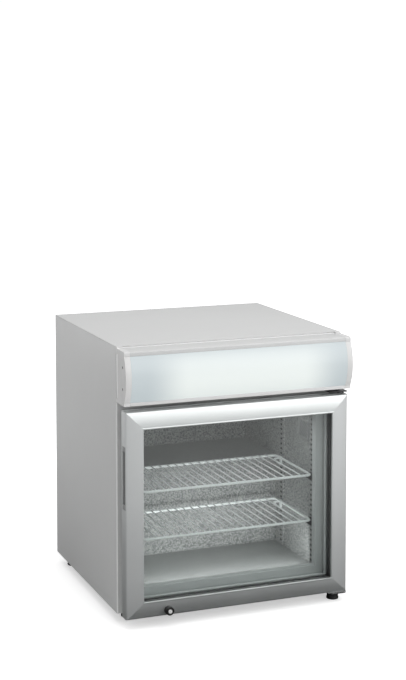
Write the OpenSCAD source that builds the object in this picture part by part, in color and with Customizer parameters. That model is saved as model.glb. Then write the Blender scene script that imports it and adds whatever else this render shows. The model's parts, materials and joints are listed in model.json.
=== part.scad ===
// Counter-top glass door display freezer with a lit sign canopy.
// Millimetres. +Z is up, the door faces -Y, and the origin is on the floor
// under the middle of the object's bounding box.

/* [Cabinet] */
// Width of the cabinet
cab_w = 570; // [560:1:590]
// Depth of the cabinet, from its front face to its rear edge
cab_d = 500; // [490:1:540]
// Height of the cabinet, without its feet
cab_h = 627; // [620:1:660]
// Height of the feet under the cabinet
foot_h = 25; // [22:1:32]
// Thickness of the steel sheet
steel_t = 1.2; // [1:0.1:1.5]

/* [Cavity] */
// Width of the cold space between its side walls
cavity_w = 456; // [452:1:460]
// Height of the liner's floor above the cabinet's bottom
floor_z = 47; // [44:1:48]
// Depth of the cold space under the ledge
lower_depth = 250; // [245:1:255]
// Depth of the cold space over the ledge
upper_depth = 450; // [430:1:452]
// Height of the ledge above the cabinet's bottom
ledge_z = 272; // [268:1:274]
// Height of the opening's upper edge above the cabinet's bottom
opening_top = 430; // [424:1:434]

/* [Door] */
// Height of the door
door_h = 483; // [478:1:485]
// Width of the door
door_w = 561; // [556:1:564]
// Width of the door's top and side rails
rail_w = 42; // [41:1:43]
// Width of the door's bottom rail
bottom_rail_w = 38; // [37:1:42]
// Thickness of each glass pane
glass_t = 4; // [3:0.5:4]

/* [Sign] */
// Height of the sign canopy
sign_h = 125; // [120:1:128]
// How far the sign stands in front of the cabinet, without its bulge
sign_reach = 60; // [60:1:64]
// How far the diffuser bulges in front of that
sign_bulge = 13; // [13:1:15]
// Width of each end cap
cap_w = 14; // [12:1:16]

/* [Shelves] */
// Slot of the shelf strips that carries the lower shelf
lower_slot = 8; // [6:1:10]
// Slot of the shelf strips that carries the upper shelf
upper_slot = 17; // [17:1:20]
// Distance between neighbouring shelf wires
wire_pitch = 20.6; // [18:0.1:24]

/* [Hidden] */
$fn = 64;

eps = 0.01;
gap = 0.3;
half_w = cab_w / 2;
front_y = (sign_reach + sign_bulge - cab_d) / 2;

// cabinet shell
rear_inset = 12;
rear_y = cab_d - rear_inset;
panel_top = cab_h - steel_t - gap;
rear_flange_w = 21;
rear_panel_hw = half_w - rear_flange_w - gap;
foam_hw = half_w - steel_t - 0.2;
foam_front = steel_t + 0.2;
foam_rear = rear_y - steel_t - 0.2;
pan_t = 1.5;

// opening and its plastic frame
open_hw = 221;
open_z0 = 56;
band_hw = 250;
band_z0 = 30;
band_z1 = opening_top + open_z0 - band_z0;
band_t = 2.5;
reveal_t = 3;
reveal_d = 20;

// cold space, machine bay and the fan chamber above the ceiling
cavity_hw = cavity_w / 2;
liner_t = 1;
liner_y0 = 3;
ceiling_z = opening_top + 10;
chamber_y = 40;
chamber_top = 585;
bay_y = 290;
bay_top = 232;
cover_z = ceiling_z + 1;

// door: y is measured from the cabinet's front face
door_hw = door_w / 2;
door_z0 = 1;
door_z1 = door_z0 + door_h;
door_rear = -25;
lip_front = -59;
lip_w = 3.5;
glass_front = -53;
spacer_t = 10;
front_arc_r = 150;
edge_r = 5;
wall_t = 3;
rebate_w = 10;
hollow_front = -51;
hollow_rear = door_rear - wall_t;
pane_inset = rail_w - 8;
pane_hw = door_hw - pane_inset;
pane_z0 = door_z0 + bottom_rail_w - 8;
pane_z1 = door_z1 - pane_inset;
window_hw = door_hw - rail_w;
window_z0 = door_z0 + bottom_rail_w;
window_z1 = door_z1 - rail_w;
glass_rear = glass_front + 3 * glass_t + 2 * spacer_t;
inner_frame_inset = 18.5;
inner_frame_rear = -12;
gasket_inset = 20;
gasket_w = 14;

// grip recess in the left stile
grip_z0 = 256;
grip_h = 147;
grip_deep = 22;
grip_front = hollow_front;
grip_rear = -31;

// hinge axis
hinge_x = 270;
hinge_y = -38;
pin_r = 4;
pin_clear = 0.06;
bush_r = 6;
bush_flange_r = 8;
bracket_t = 3;
upper_plate_z = door_z1 + 4.5;
lower_plate_z = -6;

// lock in the bottom rail
lock_x = -179;
lock_z = 15;
barrel_r = 10;
tail_r = 6;
plug_r = 4.5;
plug_clear = 0.05;
lock_front = -71.5;
cam_y = -21.5;
cam_t = 2.5;
cam_l = 23;
cam_w = 7;

// sign canopy
sign_z1 = cab_h - 3.5;
sign_z0 = sign_z1 - sign_h;
seam_z1 = sign_z1 - 11;
seam_z0 = sign_z0 + 8;
bulge_mid = (seam_z0 + seam_z1) / 2;
bulge_half = (seam_z1 - seam_z0) / 2;
bulge_r = (bulge_half * bulge_half + sign_bulge * sign_bulge) / (2 * sign_bulge);
bulge_y = bulge_r - sign_reach - sign_bulge;
cap_x = half_w - cap_w;
profile_hw = cap_x - gap;
sign_back = -4;
sheet_t = 2;
screw_y = -48;
screw_zs = [sign_z0 + 38, sign_z0 + 88];
lamp_y = -38;
lamp_z = bulge_mid;
lamp_r = 13;
lamp_l = 438;

// shelves and the slotted strips that carry them
strip_t = 3;
strip_w = 28;
strip_ys = [18, 196];
slot_pitch = 12.5;
slot_z0 = 59;
slot_w = 10;
slot_h = 4.6;
strip_top = 434;
slot_count = floor((strip_top - slot_z0) / slot_pitch);
shelf_hw = 219;
shelf_y0 = 11;
shelf_y1 = 226;
frame_wire_r = 3;
cross_wire_r = 1.6;
shelf_corner_r = 12;
clip_rise = 5;

// machine bay
comp_x = -165;
comp_y = 388;
comp_r = 62;
comp_h = 150;
comp_mount_h = 12;
cond_x0 = 60;
cond_x1 = 112;
cond_y0 = 308;
cond_y1 = 468;
cond_z0 = 14;
cond_z1 = 204;
fan_y = (cond_y0 + cond_y1) / 2;
fan_z = (cond_z0 + cond_z1) / 2;
fan_r = 68;
shroud_x = cond_x0 - 24;
fan_shaft_r = 3;

// fan chamber
evap_fan_y = 130;
evap_fan_z = 468;
evap_fan_r = 48;
coil_y0 = 250;
coil_y1 = 336;
coil_z0 = 468;
coil_z1 = 560;
coil_hw = 184;

// rear controls
panel_x0 = 146;
panel_x1 = 244;
panel_z0 = 82;
panel_z1 = 204;
panel_t = 2.5;
rocker_r = 12.5;
rocker_w = 14.4;
rocker_tilt = 10;
rocker_z = 112;
rocker_y = rear_y + panel_t - 4;
power_x = 172;
light_x = 218;
knob_x = 195;
knob_z = 168;
knob_r = 18;
gland_x = 205;
gland_z = 42;
gland_bore_r = 4;
gland_thread_r = 8;

// feet: the one under the hinge stands in front of the cabinet
foot_r = 15;
foot_body_h = foot_h + lower_plate_z - gap;
stud_r = 4;
stud_clear = 0.05;
boss_r = 9;
boss_h = 10;
front_left_foot_at = [-245, 45];
front_right_foot_at = [260, -21];
rear_left_foot_at = [-255, 455];
rear_right_foot_at = [255, 455];

paint = [0.80, 0.81, 0.80];
galvanised = [0.62, 0.64, 0.65];
anodised = [0.74, 0.75, 0.75];
embossed = [0.55, 0.58, 0.57];
white_plastic = [0.88, 0.89, 0.88];
grey_plastic = [0.66, 0.69, 0.69];
black_plastic = [0.06, 0.06, 0.07];
opal = [0.86, 0.90, 0.91];
clear = [0.75, 0.85, 0.85, 0.3];
white_wire = [0.84, 0.87, 0.87];
black_paint = [0.09, 0.09, 0.10];
foam = [0.90, 0.84, 0.66];
silver = [0.78, 0.78, 0.78];

// helpers

// Cabinet coordinates: y = 0 is the cabinet's front face, z = 0 its bottom.
module in_cabinet() translate([0, front_y, foot_h]) children();

module box(lo, hi) translate(lo) cube(hi - lo);

module both_sides() {
    children();
    mirror([1, 0, 0]) children();
}

// Extrudes a (y, z) outline along X, centred.
module across(w) rotate([90, 0, 90]) linear_extrude(w, center = true) children();

// Extrudes a (y, z) outline along X from x0 to x1.
module between(x0, x1) translate([(x0 + x1) / 2, 0, 0]) across(x1 - x0) children();

module rod_x(at, r, l) translate(at) rotate([0, 90, 0]) cylinder(r = r, h = l);
module rod_y(at, r, l) translate(at) rotate([-90, 0, 0]) cylinder(r = r, h = l);
module rod_z(at, r, l) translate(at) cylinder(r = r, h = l);

// A flat rectangular ring that faces -Y.
module ring(hw, z0, z1, inner_hw, inner_z0, inner_z1, y0, y1) difference() {
    box([-hw, y0, z0], [hw, y1, z1]);
    box([-inner_hw, y0 - 1, inner_z0], [inner_hw, y1 + 1, inner_z1]);
}

// cabinet shell

module side_panel() {
    box([-half_w, 0, 0], [-half_w + steel_t, cab_d, panel_top]);
    box([-half_w, 0, 0], [-band_hw - gap, steel_t, panel_top]);
    box([-half_w, rear_y - steel_t, 0], [-half_w + rear_flange_w, rear_y, panel_top]);
}

module left_side_panel() color(paint) in_cabinet() side_panel();

module right_side_panel() color(paint) in_cabinet() mirror([1, 0, 0]) side_panel();

// Top sheet, folded down in front over the opening and as a lip behind.
module top_panel() color(paint) in_cabinet() {
    box([-half_w, 0, cab_h - steel_t], [half_w, cab_d, cab_h]);
    box([-band_hw, 0, band_z1 + gap], [band_hw, steel_t, cab_h]);
    box([-half_w + 2 * steel_t, cab_d - steel_t, cab_h - rear_inset],
        [half_w - 2 * steel_t, cab_d, cab_h]);
}

module base_pan() color(galvanised) in_cabinet() difference() {
    union() {
        box([-foam_hw, foam_front, 0], [foam_hw, foam_rear, pan_t]);
        box([-band_hw, 0, 0], [band_hw, foam_front + 1, pan_t]);
        box([-band_hw, 0, 0], [band_hw, steel_t, band_z0 - gap]);
        for (p = [front_left_foot_at, rear_left_foot_at, rear_right_foot_at])
            rod_z([p.x, p.y, 0], boss_r, boss_h);
        for (p = compressor_feet()) {
            rod_z([p.x, p.y, 0], 8, pan_t + comp_mount_h);
            rod_z([p.x, p.y, 0], 3, pan_t + comp_mount_h + 8);
        }
    }
    for (p = [front_left_foot_at, rear_left_foot_at, rear_right_foot_at])
        rod_z([p.x, p.y, -1], stud_r + stud_clear, boss_h + 2);
}

// Outline of the cold space and the fan chamber, grown outwards by t.
function cold_outline(t, y0) = [
    [y0, floor_z - t], [lower_depth + t, floor_z - t],
    [lower_depth + t, ledge_z - t], [upper_depth + t, ledge_z - t],
    [upper_depth + t, chamber_top + t], [chamber_y - t, chamber_top + t],
    [chamber_y - t, ceiling_z + t], [y0, ceiling_z + t]];

module insulation() color(foam) in_cabinet() difference() {
    box([-foam_hw, foam_front, pan_t + 0.2], [foam_hw, foam_rear, panel_top - 0.2]);
    box([-foam_hw - 1, bay_y, -1], [foam_hw + 1, cab_d, bay_top]);
    across(cavity_w + 2 * liner_t) polygon(cold_outline(liner_t, -1));
    box([-band_hw - 0.2, -1, band_z0 - 0.2], [band_hw + 0.2, band_t + 0.4, band_z1 + 0.2]);
    rod_z([front_left_foot_at.x, front_left_foot_at.y, -1], boss_r + 0.2, boss_h + 4);
}

module inner_liner() color(embossed) in_cabinet() difference() {
    across(cavity_w + 2 * liner_t) polygon(cold_outline(liner_t, liner_y0));
    across(cavity_w) polygon(cold_outline(0, liner_y0 - 1));
}

module breaker_frame() color(grey_plastic) in_cabinet() {
    ring(band_hw, band_z0, band_z1, open_hw, open_z0, opening_top, 0, band_t);
    ring(open_hw + reveal_t, open_z0 - reveal_t, opening_top + reveal_t,
        open_hw, open_z0, opening_top, 0, reveal_d);
}

module upper_rear_panel() color(galvanised) in_cabinet()
    box([-rear_panel_hw, rear_y - steel_t, bay_top + 4], [rear_panel_hw, rear_y, panel_top - 0.2]);

// Louvred cover of the machine bay, with room for the controls and the gland.
module machine_cover() color(galvanised) in_cabinet() difference() {
    box([-rear_panel_hw, rear_y - steel_t, pan_t + 0.5], [rear_panel_hw, rear_y, bay_top + 3.5]);
    for (col = [0 : 3], row = [0 : 11])
        translate([-244 + col * 94, rear_y - 3, 28 + row * 15]) cube([78, 6, 6]);
    box([panel_x0 + 4, rear_y - 3, panel_z0 + 4], [panel_x1 - 4, rear_y + 3, panel_z1 - 4]);
    rod_y([gland_x, rear_y - 3, gland_z], gland_thread_r + 0.2, 6);
}

// sign canopy

// Side outline of the sign, inset by t.
module sign_outline(t) {
    difference() {
        translate([-sign_reach + t, sign_z0 + t]) square([sign_reach - t, sign_h - 2 * t]);
        translate([-sign_reach - 1, sign_z1 - 4]) square([5, 5]);
    }
    translate([-sign_reach + 4, sign_z1 - 4]) circle(max(4 - t, 0.5));
    intersection() {
        translate([bulge_y, bulge_mid]) circle(bulge_r - t);
        translate([-sign_reach - sign_bulge, seam_z0 + t])
            square([sign_bulge + 2, seam_z1 - seam_z0 - 2 * t]);
    }
}

module end_cap() difference() {
    union() {
        difference() {
            between(-half_w, -cap_x) sign_outline(0);
            between(-half_w + 3, -cap_x + 1) sign_outline(3);
        }
        box([-half_w, -7, sign_z1 - 1], [-cap_x, 0, cab_h]);
        for (z = screw_zs)
            rod_x([-half_w + 1, screw_y, z], 5, cap_w - 2);
    }
    between(-half_w - 1, -cap_x + 1) translate([-12.7, sign_z0 + 9])
        square([13, sign_h - 21]);
    for (z = [seam_z0, seam_z1])
        box([-half_w - 1, -sign_reach - 1, z - 0.4], [-cap_x + 1, -sign_reach + 0.6, z + 0.4]);
    for (z = screw_zs) {
        rod_x([-half_w - 1, screw_y, z], 3.5, 3);
        rod_x([-half_w, screw_y, z], 2.1, cap_w + 1);
    }
}

module sign_left_cap() color(white_plastic) in_cabinet() end_cap();

module sign_right_cap() color(white_plastic) in_cabinet() mirror([1, 0, 0]) end_cap();

module sign_top_profile() color(white_plastic) in_cabinet() across(2 * profile_hw) {
    translate([-sign_reach + 4, sign_z1 - sheet_t])
        square([sign_reach - 4 + sign_back, sheet_t]);
    translate([-sign_reach, seam_z1]) square([3, sign_z1 - 4 - seam_z1]);
    intersection() {
        translate([-sign_reach + 4, sign_z1 - 4]) circle(4);
        translate([-sign_reach, sign_z1 - 4]) square([4, 4]);
    }
    translate([-sign_reach, seam_z1]) square([9, 1.5]);
}

module sign_bottom_profile() color(white_plastic) in_cabinet() across(2 * profile_hw) {
    translate([-sign_reach, sign_z0]) square([sign_reach + sign_back, sheet_t]);
    translate([-sign_reach, sign_z0]) square([3, seam_z0 - sign_z0]);
    translate([-sign_reach, seam_z0 - 1.5]) square([9, 1.5]);
}

module sign_diffuser() color(opal) in_cabinet() across(2 * profile_hw) intersection() {
    difference() {
        translate([bulge_y, bulge_mid]) circle(bulge_r);
        translate([bulge_y, bulge_mid]) circle(bulge_r - 2.5);
    }
    translate([-sign_reach - sign_bulge - 1, seam_z0 + gap])
        square([sign_bulge + 5, seam_z1 - seam_z0 - 2 * gap]);
}

module sign_reflector() color(white_plastic) in_cabinet() across(2 * profile_hw - 12) {
    translate([-8, sign_z0 + 4]) square([1.2, sign_h - 8]);
    translate([-44, sign_z0 + 4]) square([37, 1.2]);
    translate([-44, sign_z1 - 5.2]) square([37, 1.2]);
}

module sign_lamp() color("white") in_cabinet() {
    rod_x([-lamp_l / 2, lamp_y, lamp_z], lamp_r, lamp_l);
    both_sides() for (dz = [-6, 6])
        rod_x([lamp_l / 2 - 1, lamp_y, lamp_z + dz], 1.2, 8);
}

module lamp_holders() color(white_plastic) in_cabinet() both_sides() difference() {
    box([lamp_l / 2 + 0.2, lamp_y - 10, lamp_z - 12], [lamp_l / 2 + 14, -8, lamp_z + 12]);
    for (dz = [-6, 6])
        rod_x([lamp_l / 2, lamp_y, lamp_z + dz], 1.4, 10);
}

module sign_screws() color(black_paint) in_cabinet() both_sides() for (z = screw_zs) {
    rod_x([-half_w + 0.4, screw_y, z], 3.4, 1.6);
    rod_x([-half_w + 1, screw_y, z], 2, cap_w - 3);
}

// shelving

function slot_z(k) = slot_z0 + slot_pitch * k;

// Shallow channel with a row of slots, on the right-hand wall.
module slotted_strip(y) difference() {
    box([cavity_hw - strip_t, y, floor_z + 1], [cavity_hw, y + strip_w, strip_top]);
    box([cavity_hw - strip_t + 1.2, y + 6, floor_z], [cavity_hw + 1, y + strip_w - 6, strip_top + 1]);
    for (k = [0 : slot_count])
        translate([cavity_hw - strip_t - 1, y + (strip_w - slot_w) / 2, slot_z(k) - slot_h / 2])
            cube([4, slot_w, slot_h]);
}

module pilasters() color(embossed) in_cabinet() both_sides() for (y = strip_ys) slotted_strip(y);

module quarter_bend(at, turn) translate(at) rotate([0, 0, turn])
    rotate_extrude(angle = 90) translate([shelf_corner_r, 0]) circle(frame_wire_r);

// Wire shelf: a round-cornered frame with cross wires welded on top.
module wire_shelf(z) {
    x1 = shelf_hw - frame_wire_r;
    y0 = shelf_y0 + frame_wire_r;
    y1 = shelf_y1 - frame_wire_r;
    c = shelf_corner_r;
    translate([0, 0, z]) {
        for (y = [y0, y1]) rod_x([-x1 + c, y, 0], frame_wire_r, 2 * (x1 - c));
        for (x = [-x1, x1]) rod_y([x, y0 + c, 0], frame_wire_r, y1 - y0 - 2 * c);
        quarter_bend([x1 - c, y1 - c, 0], 0);
        quarter_bend([-x1 + c, y1 - c, 0], 90);
        quarter_bend([-x1 + c, y0 + c, 0], 180);
        quarter_bend([x1 - c, y0 + c, 0], 270);
        wires = floor((x1 - c) / wire_pitch);
        for (i = [-wires : wires])
            rod_y([i * wire_pitch, y0 - 1, frame_wire_r + cross_wire_r - 0.8], cross_wire_r, y1 - y0 + 2);
    }
}

module upper_shelf() color(white_wire) in_cabinet() wire_shelf(slot_z(upper_slot) + clip_rise);

module lower_shelf() color(white_wire) in_cabinet() wire_shelf(slot_z(lower_slot) + clip_rise);

// Clip that hooks into a strip and carries the shelf's side wire.
module shelf_clip(y, k) {
    top = slot_z(k) + clip_rise - frame_wire_r;
    box([shelf_hw + 0.3, y - 6, top - 12], [cavity_hw - strip_t, y + 6, top + 5]);
    box([shelf_hw - 9, y - 6, top - 3], [shelf_hw + 1, y + 6, top]);
    box([cavity_hw - strip_t - eps, y - slot_w / 2 + 1, slot_z(k) - slot_h / 2 + 0.5],
        [cavity_hw - strip_t + 1.1, y + slot_w / 2 - 1, slot_z(k) + slot_h / 2 - 0.5]);
}

module shelf_clips() color(black_plastic) in_cabinet() both_sides()
    for (y = strip_ys, k = [lower_slot, upper_slot]) shelf_clip(y + strip_w / 2, k);

// Slotted cover of the temperature probe, high on the right-hand wall.
module wall_vent() color(grey_plastic) in_cabinet() difference() {
    box([cavity_hw - 2.5, 52, 352], [cavity_hw, 104, 400]);
    box([cavity_hw - 1.5, 54, 354], [cavity_hw + 1, 102, 398]);
    intersection() {
        box([cavity_hw - 4, 57, 357], [cavity_hw - 1, 99, 395]);
        for (i = [-4 : 5])
            translate([cavity_hw - 3, 78, 376 + i * 9]) rotate([30, 0, 0])
                cube([6, 90, 3], center = true);
    }
}

// machine bay

function compressor_feet() = [for (dx = [-52, 52], dy = [-72, 72])
    [comp_x + dx, comp_y + dy]];

module compressor() color(black_paint) in_cabinet() {
    base_z = pan_t + comp_mount_h;
    translate([comp_x, comp_y, base_z + 4]) rotate_extrude() {
        translate([0, 20]) square([comp_r, comp_h - 40]);
        square([comp_r - 20, comp_h]);
        for (z = [20, comp_h - 20]) translate([comp_r - 20, z]) circle(20);
    }
    difference() {
        box([comp_x - 62, comp_y - 84, base_z], [comp_x + 62, comp_y + 84, base_z + 4.5]);
        for (p = compressor_feet()) rod_z([p.x, p.y, base_z - 1], 5, 7);
    }
    box([comp_x + comp_r - 6, comp_y - 28, base_z + 40], [comp_x + comp_r + 24, comp_y + 28, base_z + 96]);
}

module tube_bend(x, y, z, side) translate([x, y, z]) rotate([0, 90, 0]) rotate([0, 0, side * 90])
    rotate_extrude(angle = 180) translate([11, 0]) circle(4);

// Finned block with one serpentine tube that runs along Y.
module condenser() color(black_paint) in_cabinet() {
    x = (cond_x0 + cond_x1) / 2;
    for (i = [0 : 18])
        translate([cond_x0, cond_y0 + 8 + i * 8, cond_z0]) cube([cond_x1 - cond_x0, 0.8, cond_z1 - cond_z0]);
    for (k = [0 : 7])
        rod_y([x, cond_y0, cond_z0 + 18 + k * 22], 4, cond_y1 - cond_y0);
    for (k = [0 : 2 : 6]) tube_bend(x, cond_y1, cond_z0 + 29 + k * 22, 0);
    for (k = [1 : 2 : 5]) tube_bend(x, cond_y0, cond_z0 + 29 + k * 22, 2);
    for (y = [cond_y0 + 2, cond_y1 - 3.2])
        translate([cond_x0, y, pan_t]) cube([cond_x1 - cond_x0, 1.2, cond_z1 - pan_t]);
}

module condenser_shroud() color(galvanised) in_cabinet() difference() {
    box([shroud_x, cond_y0 + 2, pan_t], [cond_x0 - gap, cond_y1 - 2, cond_z1]);
    box([shroud_x + steel_t, cond_y0 + 3.2, pan_t - 1], [cond_x0 + 1, cond_y1 - 3.2, cond_z1 - 1.2]);
    rod_x([shroud_x - 1, fan_y, fan_z], fan_r + 4, 4);
}

// Motor held in the shroud's hole by three arms.
module condenser_fan_motor() color(black_paint) in_cabinet() difference() {
    union() {
        rod_x([shroud_x - 60, fan_y, fan_z], 30, 42);
        for (a = [90 : 120 : 330]) translate([shroud_x - 24, fan_y, fan_z]) rotate([a, 0, 0]) {
            translate([0, 24, -6]) cube([3, fan_r - 12, 12]);
            translate([0, fan_r + 7, -6]) cube([24, 5, 12]);
        }
    }
    rod_x([shroud_x - 40, fan_y, fan_z], fan_shaft_r + 0.05, 40);
}

// Fan that turns on its own shaft; blades are pitched flat paddles.
module paddle_fan(r, hub_r, blades, w, pitch) {
    cylinder(r = hub_r, h = 18, center = true);
    for (a = [0 : 360 / blades : 359]) rotate([0, 0, a])
        intersection() {
            translate([hub_r - 3, 0, 0]) rotate([pitch, 0, 0]) translate([0, -w / 2, -0.9]) cube([r, w, 1.8]);
            difference() {
                cylinder(r = r, h = 60, center = true);
                cylinder(r = hub_r - 2, h = 61, center = true);
            }
        }
}

module condenser_fan_blade() color(white_plastic) in_cabinet()
    translate([shroud_x + 4, fan_y, fan_z]) rotate([0, 90, 0]) {
        paddle_fan(fan_r, 19, 5, 40, 24);
        translate([0, 0, -30]) cylinder(r = fan_shaft_r, h = 30);
    }

// fan chamber above the ceiling

module evaporator_cover() color(white_plastic) in_cabinet() difference() {
    box([-cavity_hw + 0.5, chamber_y + 0.5, cover_z], [cavity_hw - 0.5, upper_depth - 0.5, cover_z + 2]);
    for (i = [-4 : 4])
        translate([-2.5 + i * 10, evap_fan_y - 40, cover_z - 1]) cube([5, 80, 4]);
    for (i = [-9 : 9])
        translate([-3 + i * 20, coil_y1 + 40, cover_z - 1]) cube([6, 50, 4]);
}

module evaporator_coil() color(silver) in_cabinet() {
    for (i = [-12 : 12])
        translate([i * 15 - 0.4, coil_y0, coil_z0]) cube([0.8, coil_y1 - coil_y0, coil_z1 - coil_z0]);
    for (y = [coil_y0 + 21, coil_y1 - 21], z = [coil_z0 + 16, coil_z0 + 46, coil_z1 - 16])
        rod_x([-coil_hw, y, z], 5, 2 * coil_hw);
    both_sides() box([coil_hw, coil_y0, coil_z0 - 4], [coil_hw + 1.5, coil_y1, chamber_top]);
}

module evaporator_fan_motor() color(black_paint) in_cabinet() difference() {
    union() {
        rod_z([0, evap_fan_y, evap_fan_z + 20], 24, 34);
        box([-60, evap_fan_y - 8, evap_fan_z + 50], [60, evap_fan_y + 8, evap_fan_z + 54]);
        for (x = [-60, 57]) box([x, evap_fan_y - 8, evap_fan_z + 50], [x + 3, evap_fan_y + 8, chamber_top]);
    }
    rod_z([0, evap_fan_y, evap_fan_z], fan_shaft_r + 0.05, 46);
}

module evaporator_fan_blade() color(black_plastic) in_cabinet()
    translate([0, evap_fan_y, evap_fan_z]) {
        paddle_fan(evap_fan_r, 15, 5, 28, 28);
        cylinder(r = fan_shaft_r, h = 42);
    }

// rear controls

module control_box() color(black_plastic) in_cabinet() difference() {
    union() {
        box([panel_x0, rear_y, panel_z0], [panel_x1, rear_y + panel_t, panel_z1]);
        box([panel_x0 + 4.3, rear_y - 42, panel_z0 + 4.3], [panel_x1 - 4.3, rear_y, panel_z1 - 4.3]);
    }
    for (x = [power_x, light_x])
        rod_x([x - rocker_w / 2 - gap, rocker_y, rocker_z], rocker_r + gap, rocker_w + 2 * gap);
    rod_y([knob_x, rear_y - 20, knob_z], 3.05, 40);
}

module rocker(x) translate([x, rocker_y, rocker_z]) rotate([-rocker_tilt, 0, 0])
    across(rocker_w) difference() {
        circle(rocker_r);
        translate([6, -rocker_r]) square(2 * rocker_r);
        translate([6 + 28, 0]) circle(29.5);
    }

module power_rocker() color("firebrick") in_cabinet() rocker(power_x);

module light_rocker() color(black_plastic) in_cabinet() rocker(light_x);

module thermostat_knob() color(black_plastic) in_cabinet() difference() {
    union() {
        rod_y([knob_x, rear_y + panel_t + gap, knob_z], knob_r, 4);
        rod_y([knob_x, rear_y + panel_t + gap, knob_z], knob_r - 4, 6.5);
        box([knob_x - 3, rear_y + panel_t + 3, knob_z - knob_r + 5],
            [knob_x + 3, rear_y + panel_t + 8.8, knob_z + knob_r - 5]);
        rod_y([knob_x, rear_y - 14, knob_z], 3, 20);
    }
    for (a = [0 : 30 : 330]) translate([knob_x, rear_y, knob_z]) rotate([0, a, 0])
        rod_y([knob_r, 0, 0], 1.5, 10);
}

module cord_gland() color(black_plastic) in_cabinet() difference() {
    union() {
        rod_y([gland_x, rear_y - 10, gland_z], gland_thread_r, 12);
        translate([gland_x, rear_y, gland_z]) rotate([-90, 0, 0]) cylinder(r = 12, h = 5, $fn = 6);
        translate([gland_x, rear_y - steel_t - 4, gland_z]) rotate([-90, 0, 0])
            cylinder(r = 12, h = 4, $fn = 6);
        rod_y([gland_x, rear_y + 4, gland_z], 8.5, 4);
        rod_y([gland_x, rear_y + 7, gland_z], 6.8, 4);
    }
    rod_y([gland_x, rear_y - 12, gland_z], gland_bore_r, 26);
}

// hinges and lock keeper

module upper_hinge_bracket() color(black_paint) in_cabinet() difference() {
    union() {
        box([band_hw - 14, -50, upper_plate_z], [hinge_x + 11.5, 0, upper_plate_z + bracket_t]);
        box([band_hw - 14, -bracket_t, upper_plate_z], [cap_x - 3, 0, upper_plate_z + 36]);
    }
    rod_z([hinge_x, hinge_y, upper_plate_z - 1], pin_r + 0.1, 5);
}

module lower_hinge_bracket() color(silver) in_cabinet() difference() {
    union() {
        box([244, -50, lower_plate_z], [hinge_x + 11.5, 5, lower_plate_z + bracket_t]);
        box([244, 2, lower_plate_z], [hinge_x + 11.5, 5, 0]);
        box([244, 2, -bracket_t], [hinge_x + 11.5, 48, 0]);
    }
    rod_z([hinge_x, hinge_y, lower_plate_z - 1], pin_r + 0.1, 5);
    rod_z([front_right_foot_at.x, front_right_foot_at.y, lower_plate_z - 1], stud_r + stud_clear, 5);
}

module hinge_pins() color(galvanised) in_cabinet() {
    rod_z([hinge_x, hinge_y, door_z1 - 13], pin_r, upper_plate_z - door_z1 + 13 + bracket_t + 0.5);
    rod_z([hinge_x, hinge_y, upper_plate_z + bracket_t], 6.5, 2.5);
    rod_z([hinge_x, hinge_y, lower_plate_z], pin_r, 21);
    rod_z([hinge_x, hinge_y, lower_plate_z + bracket_t], 7, 2.2);
}

// Slotted plate under the cabinet that the lock's cam drops into.
module lock_keeper() color(silver) in_cabinet() difference() {
    box([lock_x - 20, -27, -2], [lock_x + 28, 24, 0]);
    box([lock_x - cam_w, cam_y - 1, -3], [lock_x + cam_l - 1, cam_y + cam_t + 1, 1]);
}

// feet

// Levelling foot: a round pad on a threaded stud.
module foot(p, stud_top) translate([p.x, front_y + p.y, 0]) {
    rotate_extrude() polygon([[0, 0], [foot_r - 1, 0], [foot_r, 1], [foot_r, 5],
        [foot_r - 1.2, foot_body_h - 1], [foot_r - 2.2, foot_body_h], [0, foot_body_h]]);
    cylinder(r = stud_r, h = stud_top);
}

module front_left_foot() color(black_plastic) foot(front_left_foot_at, foot_h + boss_h);

module front_right_foot() color(black_plastic)
    foot(front_right_foot_at, foot_h + lower_plate_z + bracket_t);

module rear_left_foot() color(black_plastic) foot(rear_left_foot_at, foot_h + boss_h);

module rear_right_foot() color(black_plastic) foot(rear_right_foot_at, foot_h + boss_h);

// door

// Section of a door rail: x is measured in from the door's edge, y is depth.
module rail_section(w) {
    arc_x = w - lip_w;
    arc_y = lip_front + 0.4 + front_arc_r;
    edge_y = arc_y - sqrt(pow(front_arc_r - edge_r, 2) - pow(arc_x - edge_r, 2));
    tangent_x = edge_r - edge_r * (arc_x - edge_r) / (front_arc_r - edge_r);
    difference() {
        union() {
            intersection() {
                translate([arc_x, arc_y]) circle(front_arc_r, $fn = 256);
                union() {
                    translate([tangent_x, lip_front - 2]) square([w - rebate_w - tangent_x, door_rear - lip_front + 2]);
                    translate([tangent_x, lip_front - 2]) square([arc_x - tangent_x, glass_front - lip_front + 2]);
                }
            }
            translate([0, edge_y]) square([edge_r, door_rear - edge_y]);
            translate([edge_r, edge_y]) circle(edge_r);
            translate([arc_x - 0.5, lip_front]) square([lip_w + 0.5, glass_front - lip_front]);
        }
        translate([wall_t, hollow_front]) square([w - rebate_w - 2 * wall_t, hollow_rear - hollow_front]);
        for (y = [-29.5, -33, -46]) translate([-1, y]) square([1.5, 1]);
    }
}

// The four rails meet in mitres: this is the half plane kept by one of them.
module mitre(points) rotate([90, 0, 0]) linear_extrude(200, center = true) polygon(points);

module door_top_rail() color(anodised) in_cabinet() difference() {
    intersection() {
        translate([0, 0, door_z1]) rotate([0, 90, 0]) linear_extrude(door_w, center = true) rail_section(rail_w);
        mitre([[-door_hw, door_z1], [door_hw, door_z1], [window_hw, window_z1], [-window_hw, window_z1]]);
    }
    rod_z([hinge_x, hinge_y, door_z1 - 5], bush_r + 0.1, 6);
}

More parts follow.
